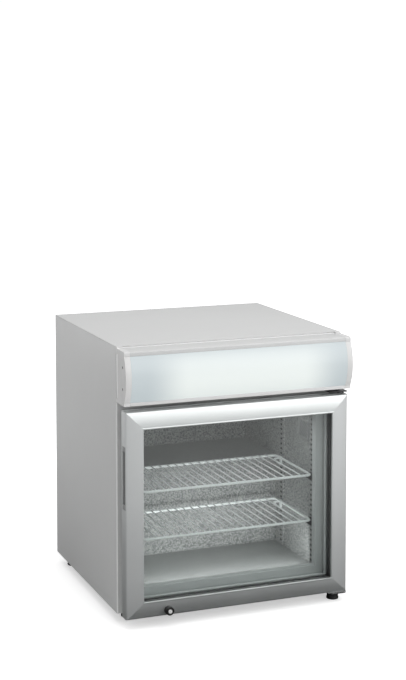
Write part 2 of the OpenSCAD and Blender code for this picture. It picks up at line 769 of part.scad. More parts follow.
module door_bottom_rail() color(anodised) in_cabinet() difference() {
    intersection() {
        translate([0, 0, door_z0]) rotate([0, -90, 0]) linear_extrude(door_w, center = true)
            rail_section(bottom_rail_w);
        mitre([[-door_hw, door_z0], [door_hw, door_z0], [window_hw, window_z0], [-window_hw, window_z0]]);
    }
    rod_z([hinge_x, hinge_y, door_z0 - 1], bush_r + 0.1, 6);
    rod_y([lock_x, -62, lock_z], barrel_r + 0.1, 12);
    rod_y([lock_x, -52, lock_z], tail_r + 0.1, 30);
}

module stile() intersection() {
    translate([-door_hw, 0, door_z0]) linear_extrude(door_h) rail_section(rail_w);
    mitre([[-door_hw, door_z0], [-door_hw, door_z1], [-window_hw, window_z1], [-window_hw, window_z0]]);
}

module door_left_stile() color(anodised) in_cabinet() difference() {
    stile();
    box([-door_hw - 1, grip_front, grip_z0], [-door_hw + wall_t + 1, grip_rear, grip_z0 + grip_h]);
}

module door_right_stile() color(anodised) in_cabinet() mirror([1, 0, 0]) stile();

// Plastic frame that clamps the glass from behind and carries the gasket.
module door_inner_frame() color(white_plastic) in_cabinet() difference() {
    i = inner_frame_inset;
    box([-door_hw + i, door_rear, door_z0 + i], [door_hw - i, inner_frame_rear, door_z1 - i]);
    box([-pane_hw - 1, door_rear - 1, pane_z0 - 1], [pane_hw + 1, glass_rear + 0.3, pane_z1 + 1]);
    box([-window_hw, door_rear - 1, window_z0], [window_hw, 0, window_z1]);
    box([lock_x - 9, door_rear - 1, 0], [lock_x + 9, 0, lock_z + 8.5]);
}

module pane(y) box([-pane_hw, y, pane_z0], [pane_hw, y + glass_t, pane_z1]);

module outer_glass() color(clear) in_cabinet() pane(glass_front);

module middle_glass() color(clear) in_cabinet() pane(glass_front + glass_t + spacer_t);

module inner_glass() color(clear) in_cabinet() pane(glass_rear - glass_t);

module glass_spacers() color(black_paint) in_cabinet() for (k = [0, 1])
    ring(pane_hw - 1, pane_z0 + 1, pane_z1 - 1, window_hw, window_z0, window_z1,
        glass_front + glass_t + k * (glass_t + spacer_t),
        glass_front + (k + 1) * (glass_t + spacer_t));

module door_gasket() color(grey_plastic) in_cabinet() {
    o = gasket_inset;
    n = gasket_inset + gasket_w;
    m = gasket_inset + 3;
    ring(door_hw - o, door_z0 + o, door_z1 - o, door_hw - n, door_z0 + n, door_z1 - n,
        inner_frame_rear, inner_frame_rear + 6);
    ring(door_hw - m, door_z0 + m, door_z1 - m, door_hw - n + 3, door_z0 + n - 3, door_z1 - n + 3,
        inner_frame_rear + 6, -0.4);
}

module grip_insert() color(black_plastic) in_cabinet() difference() {
    box([-door_hw, grip_front, grip_z0 + 0.2], [-door_hw + grip_deep, grip_rear - 0.2, grip_z0 + grip_h - 0.2]);
    box([-door_hw - 1, grip_front + 2.5, grip_z0 + 12], [-door_hw + grip_deep - 2, grip_rear - 3, grip_z0 + grip_h - 12]);
}

module hinge_bushes() color(black_plastic) in_cabinet() difference() {
    union() {
        rod_z([hinge_x, hinge_y, door_z1 - 16], bush_r, 16);
        rod_z([hinge_x, hinge_y, door_z1], bush_flange_r, 1.5);
        rod_z([hinge_x, hinge_y, door_z0], bush_r, 16);
        rod_z([hinge_x, hinge_y, door_z0 - 1.5], bush_flange_r, 1.5);
    }
    rod_z([hinge_x, hinge_y, door_z1 - 14], pin_r + pin_clear, 20);
    rod_z([hinge_x, hinge_y, door_z0 - 2], pin_r + pin_clear, 17);
}

module lock_barrel() color(black_plastic) in_cabinet() difference() {
    union() {
        rod_y([lock_x, lock_front + 1, lock_z], barrel_r, -50.4 - lock_front - 1);
        rod_y([lock_x, lock_front, lock_z], barrel_r - 1, 2);
        rod_y([lock_x, -51, lock_z], tail_r, -22 + 51);
    }
    rod_y([lock_x, lock_front - 1, lock_z], plug_r + plug_clear, 60);
}

module lock_plug() color(silver) in_cabinet() difference() {
    rod_y([lock_x, lock_front - 0.7, lock_z], plug_r, cam_y + cam_t - lock_front + 0.7);
    box([lock_x - 0.6, lock_front - 2, lock_z - 3], [lock_x + 0.6, lock_front + 6, lock_z + 3]);
    translate([lock_x, cam_y - 0.2, lock_z]) rotate([-90, 0, 0]) difference() {
        cylinder(r = plug_r + 1, h = cam_t + 1);
        translate([-3, -3, -1]) cube([6, 6, cam_t + 4]);
    }
}

module lock_cam() color(silver) in_cabinet() difference() {
    union() {
        rod_y([lock_x, cam_y, lock_z], 6.5, cam_t);
        box([lock_x, cam_y, lock_z - cam_w / 2], [lock_x + cam_l, cam_y + cam_t, lock_z + cam_w / 2]);
    }
    box([lock_x - 3, cam_y - 1, lock_z - 3], [lock_x + 3, cam_y + cam_t + 1, lock_z + 3]);
}

left_side_panel();
right_side_panel();
top_panel();
base_pan();
insulation();
inner_liner();
breaker_frame();
upper_rear_panel();
machine_cover();
sign_top_profile();
sign_bottom_profile();
sign_diffuser();
sign_left_cap();
sign_right_cap();
sign_reflector();
sign_lamp();
lamp_holders();
sign_screws();
pilasters();
upper_shelf();
lower_shelf();
shelf_clips();
wall_vent();
compressor();
condenser();
condenser_shroud();
condenser_fan_motor();
condenser_fan_blade();
evaporator_cover();
evaporator_coil();
evaporator_fan_motor();
evaporator_fan_blade();
control_box();
thermostat_knob();
power_rocker();
light_rocker();
cord_gland();
upper_hinge_bracket();
lower_hinge_bracket();
hinge_pins();
lock_keeper();
front_left_foot();
front_right_foot();
rear_left_foot();
rear_right_foot();
door_top_rail();
door_bottom_rail();
door_left_stile();
door_right_stile();
door_inner_frame();
outer_glass();
middle_glass();
inner_glass();
glass_spacers();
door_gasket();
grip_insert();
hinge_bushes();
lock_barrel();
lock_plug();
lock_cam();
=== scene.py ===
import json
import math

import bmesh
import bpy
from mathutils import Matrix, Vector


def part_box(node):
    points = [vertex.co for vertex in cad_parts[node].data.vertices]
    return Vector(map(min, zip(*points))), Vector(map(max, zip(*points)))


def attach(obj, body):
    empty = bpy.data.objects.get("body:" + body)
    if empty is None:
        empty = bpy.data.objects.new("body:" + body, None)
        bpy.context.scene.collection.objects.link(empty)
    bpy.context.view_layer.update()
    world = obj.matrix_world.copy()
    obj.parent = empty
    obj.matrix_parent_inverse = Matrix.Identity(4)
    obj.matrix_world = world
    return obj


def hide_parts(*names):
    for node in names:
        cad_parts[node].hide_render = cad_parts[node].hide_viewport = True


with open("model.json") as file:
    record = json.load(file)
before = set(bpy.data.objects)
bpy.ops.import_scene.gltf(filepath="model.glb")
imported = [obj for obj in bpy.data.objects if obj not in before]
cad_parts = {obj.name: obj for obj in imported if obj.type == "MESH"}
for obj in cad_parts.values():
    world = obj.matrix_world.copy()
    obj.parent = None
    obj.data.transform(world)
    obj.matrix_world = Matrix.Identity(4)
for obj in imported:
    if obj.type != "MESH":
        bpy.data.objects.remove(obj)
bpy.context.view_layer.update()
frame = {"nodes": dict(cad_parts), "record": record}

nodes = frame["nodes"]
scene = bpy.context.scene
mm = 0.001

# the pieces are in millimetres, measured from the cabinet's own front face (y) and bottom (z)
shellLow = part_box("left_side_panel")[0]
frontY = shellLow.y
bottomZ = shellLow.z
print("frame loaded:", len(nodes), "nodes")


def place(x, y, z):
    return Vector((x * mm, frontY + y * mm, bottomZ + z * mm))


def boxOf(node):
    low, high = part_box(node)
    shift = Vector((0, frontY, bottomZ))
    return (low - shift) / mm, (high - shift) / mm


def newGroup(name, inputs, outputs):
    group = bpy.data.node_groups.new(name, "ShaderNodeTree")
    for label, kind, value in inputs:
        socket = group.interface.new_socket(name=label, in_out="INPUT", socket_type="NodeSocket" + kind)
        socket.default_value = value
    for label, kind in outputs:
        group.interface.new_socket(name=label, in_out="OUTPUT", socket_type="NodeSocket" + kind)
    return group, group.nodes.new("NodeGroupInput"), group.nodes.new("NodeGroupOutput")


def addNode(tree, kind, links=None, **settings):
    node = tree.nodes.new("ShaderNode" + kind)
    for key, value in settings.items():
        setattr(node, key, value)
    for key, value in (links or {}).items():  # each input takes a link or a plain value
        if isinstance(value, bpy.types.NodeSocket):
            tree.links.new(value, node.inputs[key])
        else:
            node.inputs[key].default_value = value
    return node


def calc(tree, operation, a, b=0.0, c=0.0, clamp=False):
    return addNode(tree, "Math", {0: a, 1: b, 2: c}, operation=operation, use_clamp=clamp).outputs[0]


def vectorMath(tree, operation, links):
    return addNode(tree, "VectorMath", links, operation=operation).outputs[0]


def objectPoint(tree):
    return addNode(tree, "TexCoord").outputs["Object"]


def upward(tree):  # 1 where a face looks up, 0 on a wall, -1 where it looks down
    normal = addNode(tree, "NewGeometry").outputs["Normal"]
    return addNode(tree, "SeparateXYZ", {0: normal}).outputs[2]


def noise(tree, point, scale, detail=3.0, rough=0.5):
    links = {"Vector": point, "Scale": scale, "Detail": detail, "Roughness": rough}
    return addNode(tree, "TexNoise", links).outputs["Fac"]


def mixColor(tree, share, a, b, blend="MIX"):
    return addNode(tree, "Mix", {0: share, 6: a, 7: b}, data_type="RGBA", blend_type=blend).outputs[2]


def multiplied(tree, color, gain):  # a colour made lighter or darker by one number
    level = addNode(tree, "CombineXYZ", {0: gain, 1: gain, 2: gain}).outputs[0]
    return mixColor(tree, 1.0, color, level, "MULTIPLY")


def makeToneGroup():  # slow change of tone over a surface, with pale dust on what faces up
    group, start, end = newGroup("surfaceTone", [
        ("Color", "Color", (0.8, 0.8, 0.8, 1)), ("Second Color", "Color", (0.7, 0.7, 0.7, 1)),
        ("Scale", "Float", 6.0), ("Amount", "Float", 0.5), ("Speckle Scale", "Float", 900.0),
        ("Speckle", "Float", 0.1), ("Dust Color", "Color", (0.8, 0.78, 0.75, 1)), ("Dust", "Float", 0.05),
        ("Roughness", "Float", 0.4), ("Roughness Spread", "Float", 0.08),
    ], [("Color", "Color"), ("Roughness", "Float")])
    settings = {"contrast": 2.4, "darken": -0.7, "dustScale": 45.0, "finer": 3.0, "dustRoughness": 0.5}
    point = objectPoint(group)
    cloud = noise(group, point, start.outputs["Scale"], 4, 0.6)
    cloud = calc(group, "MULTIPLY_ADD", cloud, settings["contrast"], settings["darken"], True)
    color = mixColor(group, calc(group, "MULTIPLY", cloud, start.outputs["Amount"]),
                     start.outputs["Color"], start.outputs["Second Color"])
    fleck = calc(group, "SUBTRACT", noise(group, point, start.outputs["Speckle Scale"], 2), 0.5)
    gain = calc(group, "MULTIPLY_ADD", fleck, start.outputs["Speckle"], 1.0)
    color = multiplied(group, color, gain)
    facing = calc(group, "MAXIMUM", upward(group), 0.0)
    dusty = calc(group, "MULTIPLY", facing, noise(group, point, settings["dustScale"], 5, 0.7))
    dusty = calc(group, "MULTIPLY", dusty, start.outputs["Dust"], 0.0, True)
    color = mixColor(group, dusty, color, start.outputs["Dust Color"])
    fineScale = calc(group, "MULTIPLY", start.outputs["Scale"], settings["finer"])
    swing = calc(group, "SUBTRACT", noise(group, point, fineScale, 5), 0.5)
    rough = calc(group, "MULTIPLY_ADD", swing, start.outputs["Roughness Spread"], start.outputs["Roughness"])
    rough = calc(group, "MULTIPLY_ADD", dusty, settings["dustRoughness"], rough, True)
    group.links.new(color, end.inputs["Color"])
    group.links.new(rough, end.inputs["Roughness"])
    return group


def makeGrainGroup():  # fine relief: orange peel when even, brush marks when stretched
    group, start, end = newGroup("grainRelief", [
        ("Stretch", "Vector", (1, 1, 1)), ("Scale", "Float", 700.0), ("Coarse Share", "Float", 0.3),
    ], [("Height", "Float")])
    coarser = 0.22
    point = vectorMath(group, "MULTIPLY", {0: objectPoint(group), 1: start.outputs["Stretch"]})
    fine = noise(group, point, start.outputs["Scale"], 3)
    coarse = noise(group, point, calc(group, "MULTIPLY", start.outputs["Scale"], coarser), 2)
    height = calc(group, "MULTIPLY_ADD", coarse, start.outputs["Coarse Share"], fine)
    group.links.new(height, end.inputs["Height"])
    return group


def makeStuccoGroup():  # embossed sheet: small raised pebbles, pressed flat where the sheet is a floor; the pebble mask also drives painted shade
    group, start, end = newGroup("stuccoSheet", [
        ("Scale", "Float", 420.0), ("Floor Share", "Float", 0.25),
    ], [("Height", "Float"), ("Pebble Shade", "Float")])
    settings = {"bendScale": 160.0, "bend": 0.006, "levelFrom": 0.6, "steepness": -1.6, "flatFloorShade": 0.18}
    point = objectPoint(group)
    bend = addNode(group, "TexNoise", {"Vector": point, "Scale": settings["bendScale"]}).outputs["Color"]
    bend = vectorMath(group, "SCALE", {0: bend, "Scale": settings["bend"]})
    point = vectorMath(group, "ADD", {0: point, 1: bend})
    cells = addNode(group, "TexVoronoi", {"Vector": point, "Scale": start.outputs["Scale"]},
                    feature="SMOOTH_F1").outputs["Distance"]
    flat = calc(group, "GREATER_THAN", upward(group), settings["levelFrom"])
    lost = calc(group, "MULTIPLY", flat, calc(group, "SUBTRACT", 1.0, start.outputs["Floor Share"]))
    share = calc(group, "SUBTRACT", 1.0, lost)
    pebbles = calc(group, "MULTIPLY_ADD", cells, settings["steepness"], 1.0, True)
    group.links.new(calc(group, "MULTIPLY", pebbles, share), end.inputs["Height"])
    # painted shade: on the floor the pebbles' painted shade is weaker and held at a fixed level
    flatFloorShade = calc(group, "MULTIPLY_ADD", share, -settings["flatFloorShade"], settings["flatFloorShade"])
    group.links.new(calc(group, "MULTIPLY_ADD", pebbles, share, flatFloorShade), end.inputs["Pebble Shade"])
    return group


def makeSpangleGroup():  # crystal flakes of a zinc coat
    group, start, end = newGroup("zincSpangle", [("Scale", "Float", 90.0)], [("Value", "Float")])
    point = objectPoint(group)
    flake = addNode(group, "TexVoronoi", {"Vector": point, "Scale": start.outputs["Scale"]}).outputs["Color"]
    value = addNode(group, "SeparateXYZ", {0: flake}).outputs[0]
    group.links.new(value, end.inputs["Value"])
    return group


def makeGlowGroup():  # light of a tube behind an opal sheet, given by its middle and half length
    group, start, end = newGroup("tubeGlow", [
        ("Middle", "Vector", (0, 0, 0)), ("Half Length", "Float", 0.2), ("Half Height", "Float", 0.06),
        ("End Color", "Color", (0.2, 0.25, 0.28, 1)), ("Middle Color", "Color", (0.6, 0.65, 0.62, 1)),
    ], [("Color", "Color")])
    settings = {"fadeFrom": 0.62, "fadeTo": 1.12, "edgeDrop": 0.5}
    away = vectorMath(group, "SUBTRACT", {0: objectPoint(group), 1: start.outputs["Middle"]})
    split = addNode(group, "SeparateXYZ", {0: away})
    along = calc(group, "DIVIDE", calc(group, "ABSOLUTE", split.outputs[0]), start.outputs["Half Length"])
    high = calc(group, "DIVIDE", calc(group, "ABSOLUTE", split.outputs[2]), start.outputs["Half Height"])
    limits = {0: along, 1: settings["fadeFrom"], 2: settings["fadeTo"], 3: 1.0, 4: 0.0}
    fade = addNode(group, "MapRange", limits, interpolation_type="SMOOTHSTEP").outputs[0]
    drop = calc(group, "MULTIPLY", calc(group, "POWER", high, 2.0), settings["edgeDrop"])
    band = calc(group, "SUBTRACT", 1.0, drop, 0.0, True)
    mask = calc(group, "MULTIPLY", fade, band)
    color = mixColor(group, mask, start.outputs["End Color"], start.outputs["Middle Color"])
    group.links.new(color, end.inputs["Color"])
    return group


toneGroup = makeToneGroup()
grainGroup = makeGrainGroup()
stuccoGroup = makeStuccoGroup()
spangleGroup = makeSpangleGroup()
glowGroup = makeGlowGroup()
print("shader groups made")


def gray(level, tint=(1, 1, 1)):
    return (level * tint[0], level * tint[1], level * tint[2], 1)


def useGroup(tree, group, values):
    return addNode(tree, "Group", values, node_tree=group)


def newMaterial(name):
    material = bpy.data.materials.new(name)
    material.use_nodes = True
    return material, material.node_tree, material.node_tree.nodes["Principled BSDF"]


# tone feeds the tone group, grain the fine relief; relief adds a coarser one under it
def makeFinish(name, tone, grain, bump=0.1, bumpDistance=0.0002, metallic=0.0, plain=None, relief=None):
    grainShare = 0.12
    material, tree, shader = newMaterial(name)
    shader.inputs["Metallic"].default_value = metallic
    for key, value in (plain or {}).items():
        shader.inputs[key].default_value = value
    surface = useGroup(tree, toneGroup, tone)
    tree.links.new(surface.outputs["Color"], shader.inputs["Base Color"])
    tree.links.new(surface.outputs["Roughness"], shader.inputs["Roughness"])
    height = useGroup(tree, grainGroup, grain).outputs["Height"]
    coarse = relief(tree, surface, shader) if relief else None
    if coarse is not None:
        height = calc(tree, "MULTIPLY_ADD", height, grainShare, coarse)
    raised = addNode(tree, "Bump", {"Strength": bump, "Distance": bumpDistance, "Height": height})
    tree.links.new(raised.outputs[0], shader.inputs["Normal"])
    return material


def stuccoRelief(tree, surface, shader):
    # painted shade and highlight: the liner's colour is darkened in the pebbles' dips and lightened on their
    # crests
    dipShade, crestHighlight = (0.47, 0.49, 0.49, 1), (1.45, 1.45, 1.44, 1)
    made = useGroup(tree, stuccoGroup, {"Scale": 300.0, "Floor Share": 0.10})
    gain = mixColor(tree, made.outputs["Pebble Shade"], dipShade, crestHighlight)
    color = mixColor(tree, 1.0, surface.outputs["Color"], gain, "MULTIPLY")
    tree.links.new(color, shader.inputs["Base Color"])
    return made.outputs["Height"]


def spangleRelief(tree, surface, shader):  # colour only: the zinc coat has no height of its own
    darkest, spread = 0.88, 0.22
    made = useGroup(tree, spangleGroup, {"Scale": 95.0})
    gain = calc(tree, "MULTIPLY_ADD", made.outputs["Value"], spread, darkest)
    tree.links.new(multiplied(tree, surface.outputs["Color"], gain), shader.inputs["Base Color"])


def makeGlass(name, tint, rough, ior):  # shadow and diffuse rays pass it with a plain tint
    clearTint = (0.955, 0.96, 0.958, 1)
    material, tree, shader = newMaterial(name)
    shader.inputs["Metallic"].default_value = 0.0
    shader.inputs["Transmission Weight"].default_value = 1.0
    shader.inputs["IOR"].default_value = ior
    surface = useGroup(tree, toneGroup, {
        "Color": tint, "Second Color": (tint[0] * 0.985, tint[1], tint[2] * 0.995, 1), "Scale": 3.0,
        "Speckle": 0.0, "Dust": 0.0, "Roughness": rough, "Roughness Spread": rough * 0.8})
    tree.links.new(surface.outputs["Color"], shader.inputs["Base Color"])
    tree.links.new(surface.outputs["Roughness"], shader.inputs["Roughness"])
    clear = addNode(tree, "BsdfTransparent", {"Color": clearTint})
    path = addNode(tree, "LightPath")
    soft = calc(tree, "MAXIMUM", path.outputs["Is Shadow Ray"], path.outputs["Is Diffuse Ray"])
    mixed = addNode(tree, "MixShader", {0: soft, 1: shader.outputs[0], 2: clear.outputs[0]})
    tree.links.new(mixed.outputs[0], tree.nodes["Material Output"].inputs["Surface"])
    return material


finishes = {
    "cabinet_paint": makeFinish("cabinetPowderCoat", {
        "Color": gray(0.60, (0.99, 1.0, 0.995)), "Second Color": gray(0.565), "Scale": 2.5, "Amount": 0.5,
        "Speckle": 0.10, "Speckle Scale": 420.0, "Dust": 0.04, "Roughness": 0.42, "Roughness Spread": 0.1,
    }, {"Scale": 620.0}, 0.16, 0.0003, plain={"Coat Weight": 0.12, "Coat Roughness": 0.3}),
    "galvanised_steel": makeFinish("zincCoatedSheet", {
        "Color": gray(0.52, (0.98, 1, 1.02)), "Second Color": gray(0.42), "Scale": 5.0, "Amount": 0.6,
        "Speckle": 0.08, "Dust": 0.12, "Roughness": 0.42, "Roughness Spread": 0.2,
    }, {"Scale": 300.0}, 0.10, 0.0002, 0.85, relief=spangleRelief),
    "insulation_foam": makeFinish("yellowedFoam", {
        "Color": (0.78, 0.66, 0.38, 1), "Second Color": (0.66, 0.52, 0.26, 1), "Scale": 14.0, "Amount": 0.8,
        "Speckle": 0.4, "Roughness": 0.9,
    }, {"Scale": 240.0, "Coarse Share": 1.0}, 0.6, 0.001),
    "embossed_liner": makeFinish("stuccoAluminium", {
        "Color": gray(0.48, (1, 0.995, 0.99)), "Second Color": gray(0.38, (1, 1, 0.995)), "Scale": 7.0,
        "Amount": 0.6, "Speckle": 0.65, "Speckle Scale": 330.0, "Roughness": 0.45, "Roughness Spread": 0.15,
    }, {"Scale": 900.0}, 0.5, 0.0008, 0.35, relief=stuccoRelief),
    "frame_plastic": makeFinish("greyMouldedPlastic", {
        "Color": gray(0.58, (0.97, 1.0, 1.0)), "Second Color": gray(0.53, (0.97, 1, 1)), "Scale": 5.0,
        "Amount": 0.5, "Speckle": 0.06, "Roughness": 0.42, "Roughness Spread": 0.1,
    }, {"Scale": 900.0}, 0.08),
    "white_plastic": makeFinish("whiteMouldedPlastic", {
        "Color": gray(0.66), "Second Color": gray(0.62, (1, 1, 0.98)), "Scale": 6.0, "Amount": 0.5,
        "Speckle": 0.05, "Dust": 0.05, "Roughness": 0.36, "Roughness Spread": 0.1,
    }, {"Scale": 800.0}, 0.08, plain={"Coat Weight": 0.1, "Coat Roughness": 0.25}),
    "black_plastic": makeFinish("blackMouldedPlastic", {
        "Color": gray(0.006), "Second Color": gray(0.010), "Scale": 30.0, "Amount": 0.7, "Speckle": 0.2,
        "Dust": 0.01, "Dust Color": gray(0.3), "Roughness": 0.4, "Roughness Spread": 0.15,
    }, {"Scale": 1100.0}, 0.15, plain={"Specular IOR Level": 0.25}),
    "red_plastic": makeFinish("redMouldedPlastic", {
        "Color": (0.42, 0.012, 0.01, 1), "Second Color": (0.36, 0.01, 0.01, 1), "Scale": 40.0,
        "Speckle": 0.1, "Roughness": 0.25, "Roughness Spread": 0.08,
    }, {"Scale": 900.0}, 0.05),
    "black_steel": makeFinish("blackStovedSteel", {
        "Color": gray(0.03), "Second Color": gray(0.045), "Scale": 12.0, "Amount": 0.7, "Speckle": 0.15,
        "Dust": 0.15, "Dust Color": gray(0.35), "Roughness": 0.38, "Roughness Spread": 0.12,
    }, {"Scale": 500.0}, 0.15),
    "white_wire": makeFinish("plasticCoatedWire", {
        "Color": gray(0.88, (0.97, 1.0, 1.0)), "Second Color": gray(0.82, (0.97, 1, 1)), "Scale": 20.0,
        "Amount": 0.6, "Speckle": 0.08, "Roughness": 0.3, "Roughness Spread": 0.1,
    }, {"Scale": 500.0}, 0.12, plain={"Coat Weight": 0.3, "Coat Roughness": 0.2}),
    "coil_aluminium": makeFinish("coilFins", {
        "Color": gray(0.6), "Second Color": gray(0.5), "Scale": 20.0, "Amount": 0.6, "Dust": 0.15,
        "Roughness": 0.35, "Roughness Spread": 0.15,
    }, {"Scale": 400.0}, 0.1, metallic=0.9),
    "bright_steel": makeFinish("platedSteel", {
        "Color": gray(0.72), "Second Color": gray(0.62), "Scale": 30.0, "Amount": 0.6, "Speckle": 0.06,
        "Roughness": 0.2, "Roughness Spread": 0.12,
    }, {"Scale": 600.0}, 0.06, metallic=1.0),
    "anodised_frame": makeFinish("satinAnodisedAlong", {
        "Color": gray(0.74, (0.965, 1, 0.995)), "Second Color": gray(0.68, (0.965, 1, 0.995)),
        "Scale": 4.0, "Amount": 0.5, "Speckle": 0.05, "Speckle Scale": 600.0,
        "Roughness": 0.42, "Roughness Spread": 0.08,
    }, {"Stretch": (0.04, 1, 1), "Scale": 1500.0}, 0.10, 0.0001, metallic=0.9),
    "gasket_rubber": makeFinish("softGreyGasket", {
        "Color": gray(0.20, (0.97, 1, 1)), "Second Color": gray(0.25), "Scale": 20.0, "Amount": 0.6,
        "Speckle": 0.15, "Dust": 0.08, "Roughness": 0.62, "Roughness Spread": 0.1,
    }, {"Scale": 700.0}, 0.15),
    "clear_glass": makeGlass("clearDoorPane", (0.965, 0.976, 0.974, 1), 0.004, 1.38),
    "lamp_glass": makeGlass("lampGlass", (0.95, 0.97, 0.97, 1), 0.05, 1.2),
}
uprightAnodised = makeFinish("satinAnodisedUpright", {
    "Color": gray(0.74, (0.975, 1, 1)), "Second Color": gray(0.68, (0.975, 1, 1)),
    "Scale": 4.0, "Amount": 0.5, "Speckle": 0.05, "Speckle Scale": 600.0,
    "Roughness": 0.44, "Roughness Spread": 0.08,
}, {"Stretch": (1, 1, 0.04), "Scale": 1500.0}, 0.10, 0.0001, metallic=0.85)
# painted highlight: a near-white finish, far paler than the cabinet's paint, for flanges and a seam that
# show bright from light
paintedHighlightFinish = makeFinish("paintedHighlightWhite", {
    "Color": gray(0.93), "Second Color": gray(0.90), "Scale": 6.0, "Amount": 0.4, "Speckle": 0.04,
    "Roughness": 0.3, "Roughness Spread": 0.08,
}, {"Scale": 800.0}, 0.05)
coverFinish = makeFinish("dullProbeCover", {
    "Color": gray(0.26, (0.97, 1, 1)), "Second Color": gray(0.32), "Scale": 20.0, "Amount": 0.6,
    "Speckle": 0.1, "Roughness": 0.5, "Roughness Spread": 0.1,
}, {"Scale": 900.0}, 0.08)
# nickel lock plug, near-white and mostly non-metallic so its face shows bright: the nickel's own pale tone
# plus a painted highlight
plugFinish = makeFinish("nickelPlugPaintedHighlight", {
    "Color": gray(0.88), "Second Color": gray(0.80), "Scale": 60.0, "Amount": 0.6, "Speckle": 0.1,
    "Roughness": 0.32, "Roughness Spread": 0.12,
}, {"Scale": 1200.0}, 0.08, metallic=0.3)
spacerFinish = makeFinish("darkSpacerBar", {
    "Color": gray(0.035, (0.95, 1, 1)), "Second Color": gray(0.05), "Scale": 30.0, "Amount": 0.5,
    "Speckle": 0.1, "Roughness": 0.35, "Roughness Spread": 0.1,
}, {"Scale": 700.0}, 0.1, metallic=0.5)


def makeOpal():
    low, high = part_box("sign_diffuser")
    middle = (low + high) / 2
    settings = {"base": gray(0.30, (0.97, 1.0, 1.0)), "end": (0.27, 0.32, 0.34, 1),
                "middle": (0.56, 0.60, 0.58, 1), "shiftX": 0.013, "shiftZ": -0.022}  # shifts in metres
    material = makeFinish("opalDiffuser", {
        "Color": settings["base"], "Second Color": settings["base"], "Scale": 3.0, "Speckle": 0.03,
        "Dust": 0.0, "Roughness": 0.3, "Roughness Spread": 0.06,
    }, {"Scale": 700.0}, 0.03)
    tree = material.node_tree
    glow = useGroup(tree, glowGroup, {
        "Middle": (middle.x + settings["shiftX"], middle.y, middle.z + settings["shiftZ"]),
        "Half Length": 0.225, "Half Height": 0.06,
        "End Color": settings["end"], "Middle Color": settings["middle"]})
    shader = tree.nodes["Principled BSDF"]
    tree.links.new(glow.outputs["Color"], shader.inputs["Emission Color"])
    shader.inputs["Emission Strength"].default_value = 1.0
    return material


finishes["opal_diffuser"] = makeOpal()
slotOf = {part["node"]: part["material_slot"] for part in frame["record"]["subparts"]}
for name, cad in nodes.items():
    for holder in cad.material_slots:
        holder.material = finishes[slotOf[name]]
print("materials made:", len(finishes))


bodyOf = {node: body for body, members in frame["record"]["behaviour"]["bodies"].items() for node in members}
weldGap = 2e-6  # metres
tinyGap = 1e-6
flatAngle = math.radians(0.6)


def finishPiece(piece, body, slotName, stands=(), material=None, smooth=35):
    piece.data.materials.clear()
    piece.data.materials.append(material or finishes[slotName])
    if smooth:
        piece.data.shade_smooth()
        piece.data.set_sharp_from_angle(angle=math.radians(smooth))
    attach(piece, body)
    if stands:
        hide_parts(*stands)
    return piece


def newPiece(name, build):
    mesh = bpy.data.meshes.new(name)
    work = bmesh.new()
    build(work)
    bmesh.ops.remove_doubles(work, verts=work.verts, dist=weldGap)
    bmesh.ops.dissolve_degenerate(work, edges=work.edges, dist=tinyGap)
    bmesh.ops.recalc_face_normals(work, faces=work.faces)
    work.to_mesh(mesh)
    work.free()
    piece = bpy.data.objects.new(name, mesh)
    scene.collection.objects.link(piece)
    return piece


def bevelSharp(work, width, segments, angle=38):
    sharp = [e for e in work.edges if len(e.link_faces) == 2 and e.calc_face_angle(0) > math.radians(angle)]
    if sharp:
        bmesh.ops.bevel(work, geom=sharp, offset=width * mm, segments=segments, profile=0.6,
                        affect="EDGES", clamp_overlap=True)


def copyShape(work, node, width, segments):  # the CAD shape with its edges broken
    work.from_mesh(nodes[node].data)
    bmesh.ops.remove_doubles(work, verts=work.verts, dist=tinyGap)
    bmesh.ops.dissolve_limit(work, angle_limit=flatAngle, verts=work.verts, edges=work.edges)
    bevelSharp(work, width, segments)


def softened(node, name, width=0.4, segments=2, material=None):
    def build(work):
        copyShape(work, node, width, segments)
    return finishPiece(newPiece(name, build), bodyOf[node], slotOf[node], [node], material)


def addBox(work, low, high, bevel=0.0):
    made = bmesh.ops.create_cube(work, size=1.0)["verts"]
    low, high = place(*low), place(*high)
    for vert in made:
        vert.co = Vector(low[i] + (vert.co[i] + 0.5) * (high[i] - low[i]) for i in range(3))
    if bevel:
        edges = list(dict.fromkeys(e for v in made for e in v.link_edges))
        bmesh.ops.bevel(work, geom=edges, offset=bevel * mm, segments=2, profile=0.6, affect="EDGES")


def ringVerts(work, center, u, v, radius, count, shape=None):
    verts = []
    for i in range(count):
        a = 2 * math.pi * i / count
        r = radius * (shape(a) if shape else 1)
        verts.append(work.verts.new(center + (u * math.cos(a) + v * math.sin(a)) * r * mm))
    return verts


def bridge(work, first, second, closed=True):
    count = len(first)
    for i in range(count if closed else count - 1):
        j = (i + 1) % count
        work.faces.new((first[i], first[j], second[j], second[i]))


def bridgeGrid(work, grid):
    for first, second in zip(grid, grid[1:]):
        bridge(work, first, second, False)


def skin(work, rings, closed=False, capped=False):  # faces from each ring to the next
    for first, second in zip(rings, rings[1:]):
        bridge(work, first, second)
    if closed:
        bridge(work, rings[-1], rings[0])
    if capped:
        work.faces.new(rings[0])
        work.faces.new(rings[-1])


